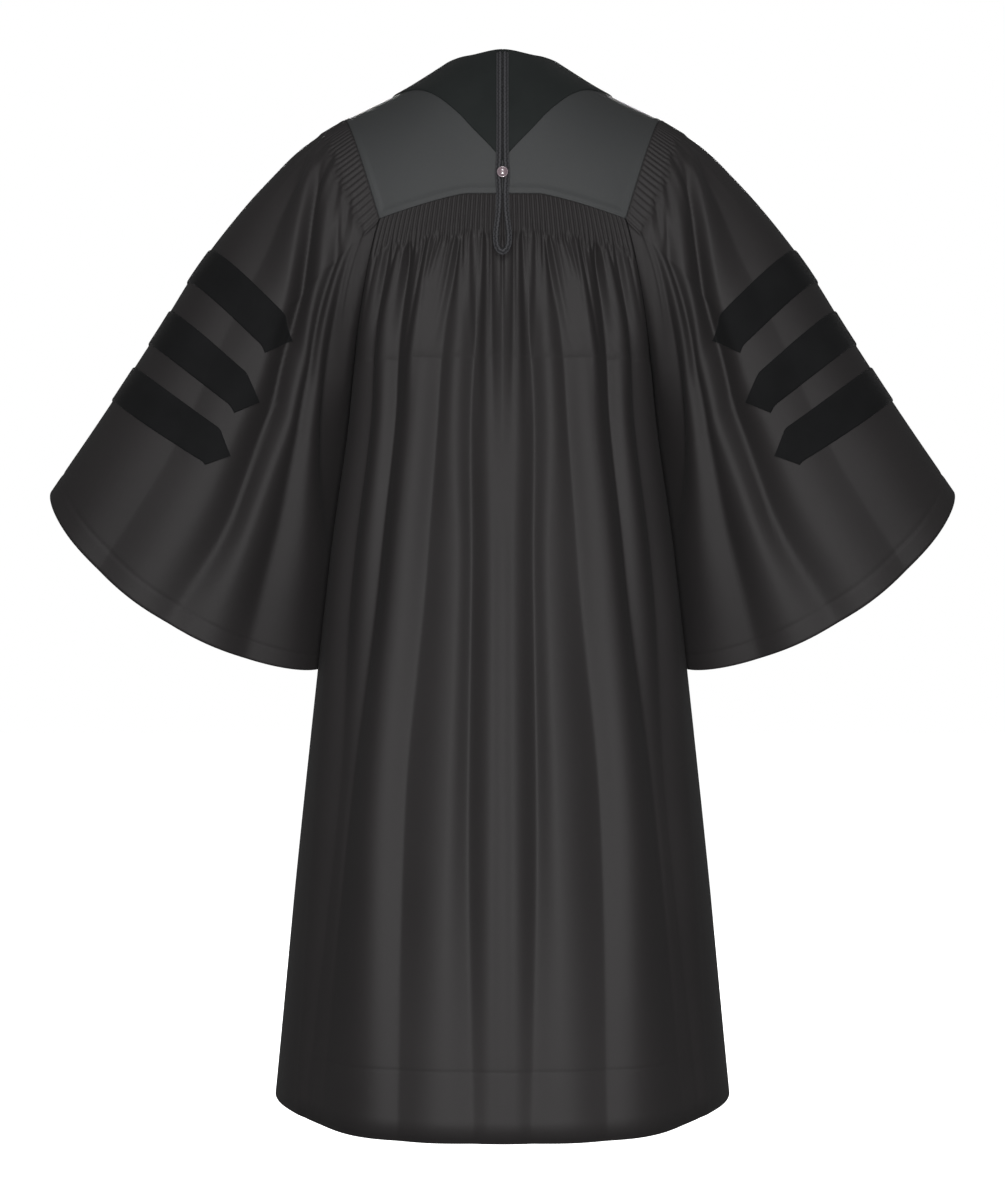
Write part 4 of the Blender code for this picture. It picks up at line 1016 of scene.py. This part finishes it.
def build_studio():
    """White backdrop, pale floor, softboxes above, behind and below the camera, and one on the far side."""
    scene = bpy.context.scene
    scene.view_settings.view_transform = "Standard"
    world = bpy.data.worlds.new("studio")
    world.use_nodes = True
    nodes, links = world.node_tree.nodes, world.node_tree.links
    room = nodes["Background"]
    room.inputs["Color"].default_value = (1, 1, 1, 1)
    room.inputs["Strength"].default_value = ROOM_LIGHT
    backdrop = nodes.new("ShaderNodeBackground")
    backdrop.inputs["Color"].default_value = (1, 1, 1, 1)
    seen = nodes.new("ShaderNodeLightPath")
    chosen = nodes.new("ShaderNodeMixShader")
    links.new(seen.outputs["Is Camera Ray"], chosen.inputs[0])
    links.new(room.outputs[0], chosen.inputs[1])
    links.new(backdrop.outputs[0], chosen.inputs[2])
    links.new(chosen.outputs[0], nodes["World Output"].inputs["Surface"])
    scene.world = world
    for name, place, target, size, power in LIGHTS:
        build_light(name, place, target, size, power)
    level = -SHOULDER_HEIGHT - FLOOR_DROP
    mesh = bpy.data.meshes.new("floor")
    corners = [(x * FLOOR_REACH, y * FLOOR_REACH, level) for x, y in ((-1, -1), (1, -1), (1, 1), (-1, 1))]
    mesh.from_pydata(corners, [], [(0, 1, 2, 3)])
    floor = bpy.data.objects.new("floor", mesh)
    floor.data.materials.append(floor_white())
    floor.visible_diffuse = False
    floor.visible_glossy = False
    scene.collection.objects.link(floor)


def dress(piece, node, finish):
    """Gives a piece its finish, hangs it from the root body and hides the solid that it stands for."""
    piece.data.materials.append(finish)
    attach(piece, "root")
    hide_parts(node)


def main():
    build_camera()
    cloth = gown_cloth("gown_polyester", (0.0065, 0.0059, 0.0061), (0.0205, 0.0187, 0.0190))
    # The yoke is the same black polyester as the gown. Its lighter, cooler colours are painted light from the softbox
    # above, where the yoke faces up.
    painted_light_yoke_cloth = gown_cloth("yoke_polyester_painted_light", (0.0160, 0.0168, 0.0171), (0.0374, 0.0392, 0.0400))
    pile = velvet("facing_velvet", (0.0095, 0.0110, 0.0108), (0.0155, 0.0172, 0.0170))
    bar_pile = velvet("bar_velvet", (0.0045, 0.0046, 0.0048), (0.0085, 0.0086, 0.0090))
    dress(build_cord(), "hood_cord", cord_braid())
    dress(build_button(), "button", button_shell())
    dress(build_yoke(), "yoke", painted_light_yoke_cloth)
    dress(build_back(), "back", cloth)
    for hand, left in (("left", True), ("right", False)):
        sleeve = build_sleeve(f"gown_sleeve_{hand}", left)
        dress(sleeve, f"sleeve_{hand}", cloth)
        front = build_front(f"gown_front_{hand}", left)
        dress(front, f"front_{hand}", cloth)
        facing = build_velvet(f"velvet_facing_{hand}", left)
        dress(facing, f"velvet_{hand}", pile)
        for row in range(len(BARS["number"])):
            number = row + 1
            bar = build_bar(f"velvet_bar_{hand}_{number}", row, left)
            dress(bar, f"bar_{hand}_{number}", bar_pile)
    build_studio()


main()
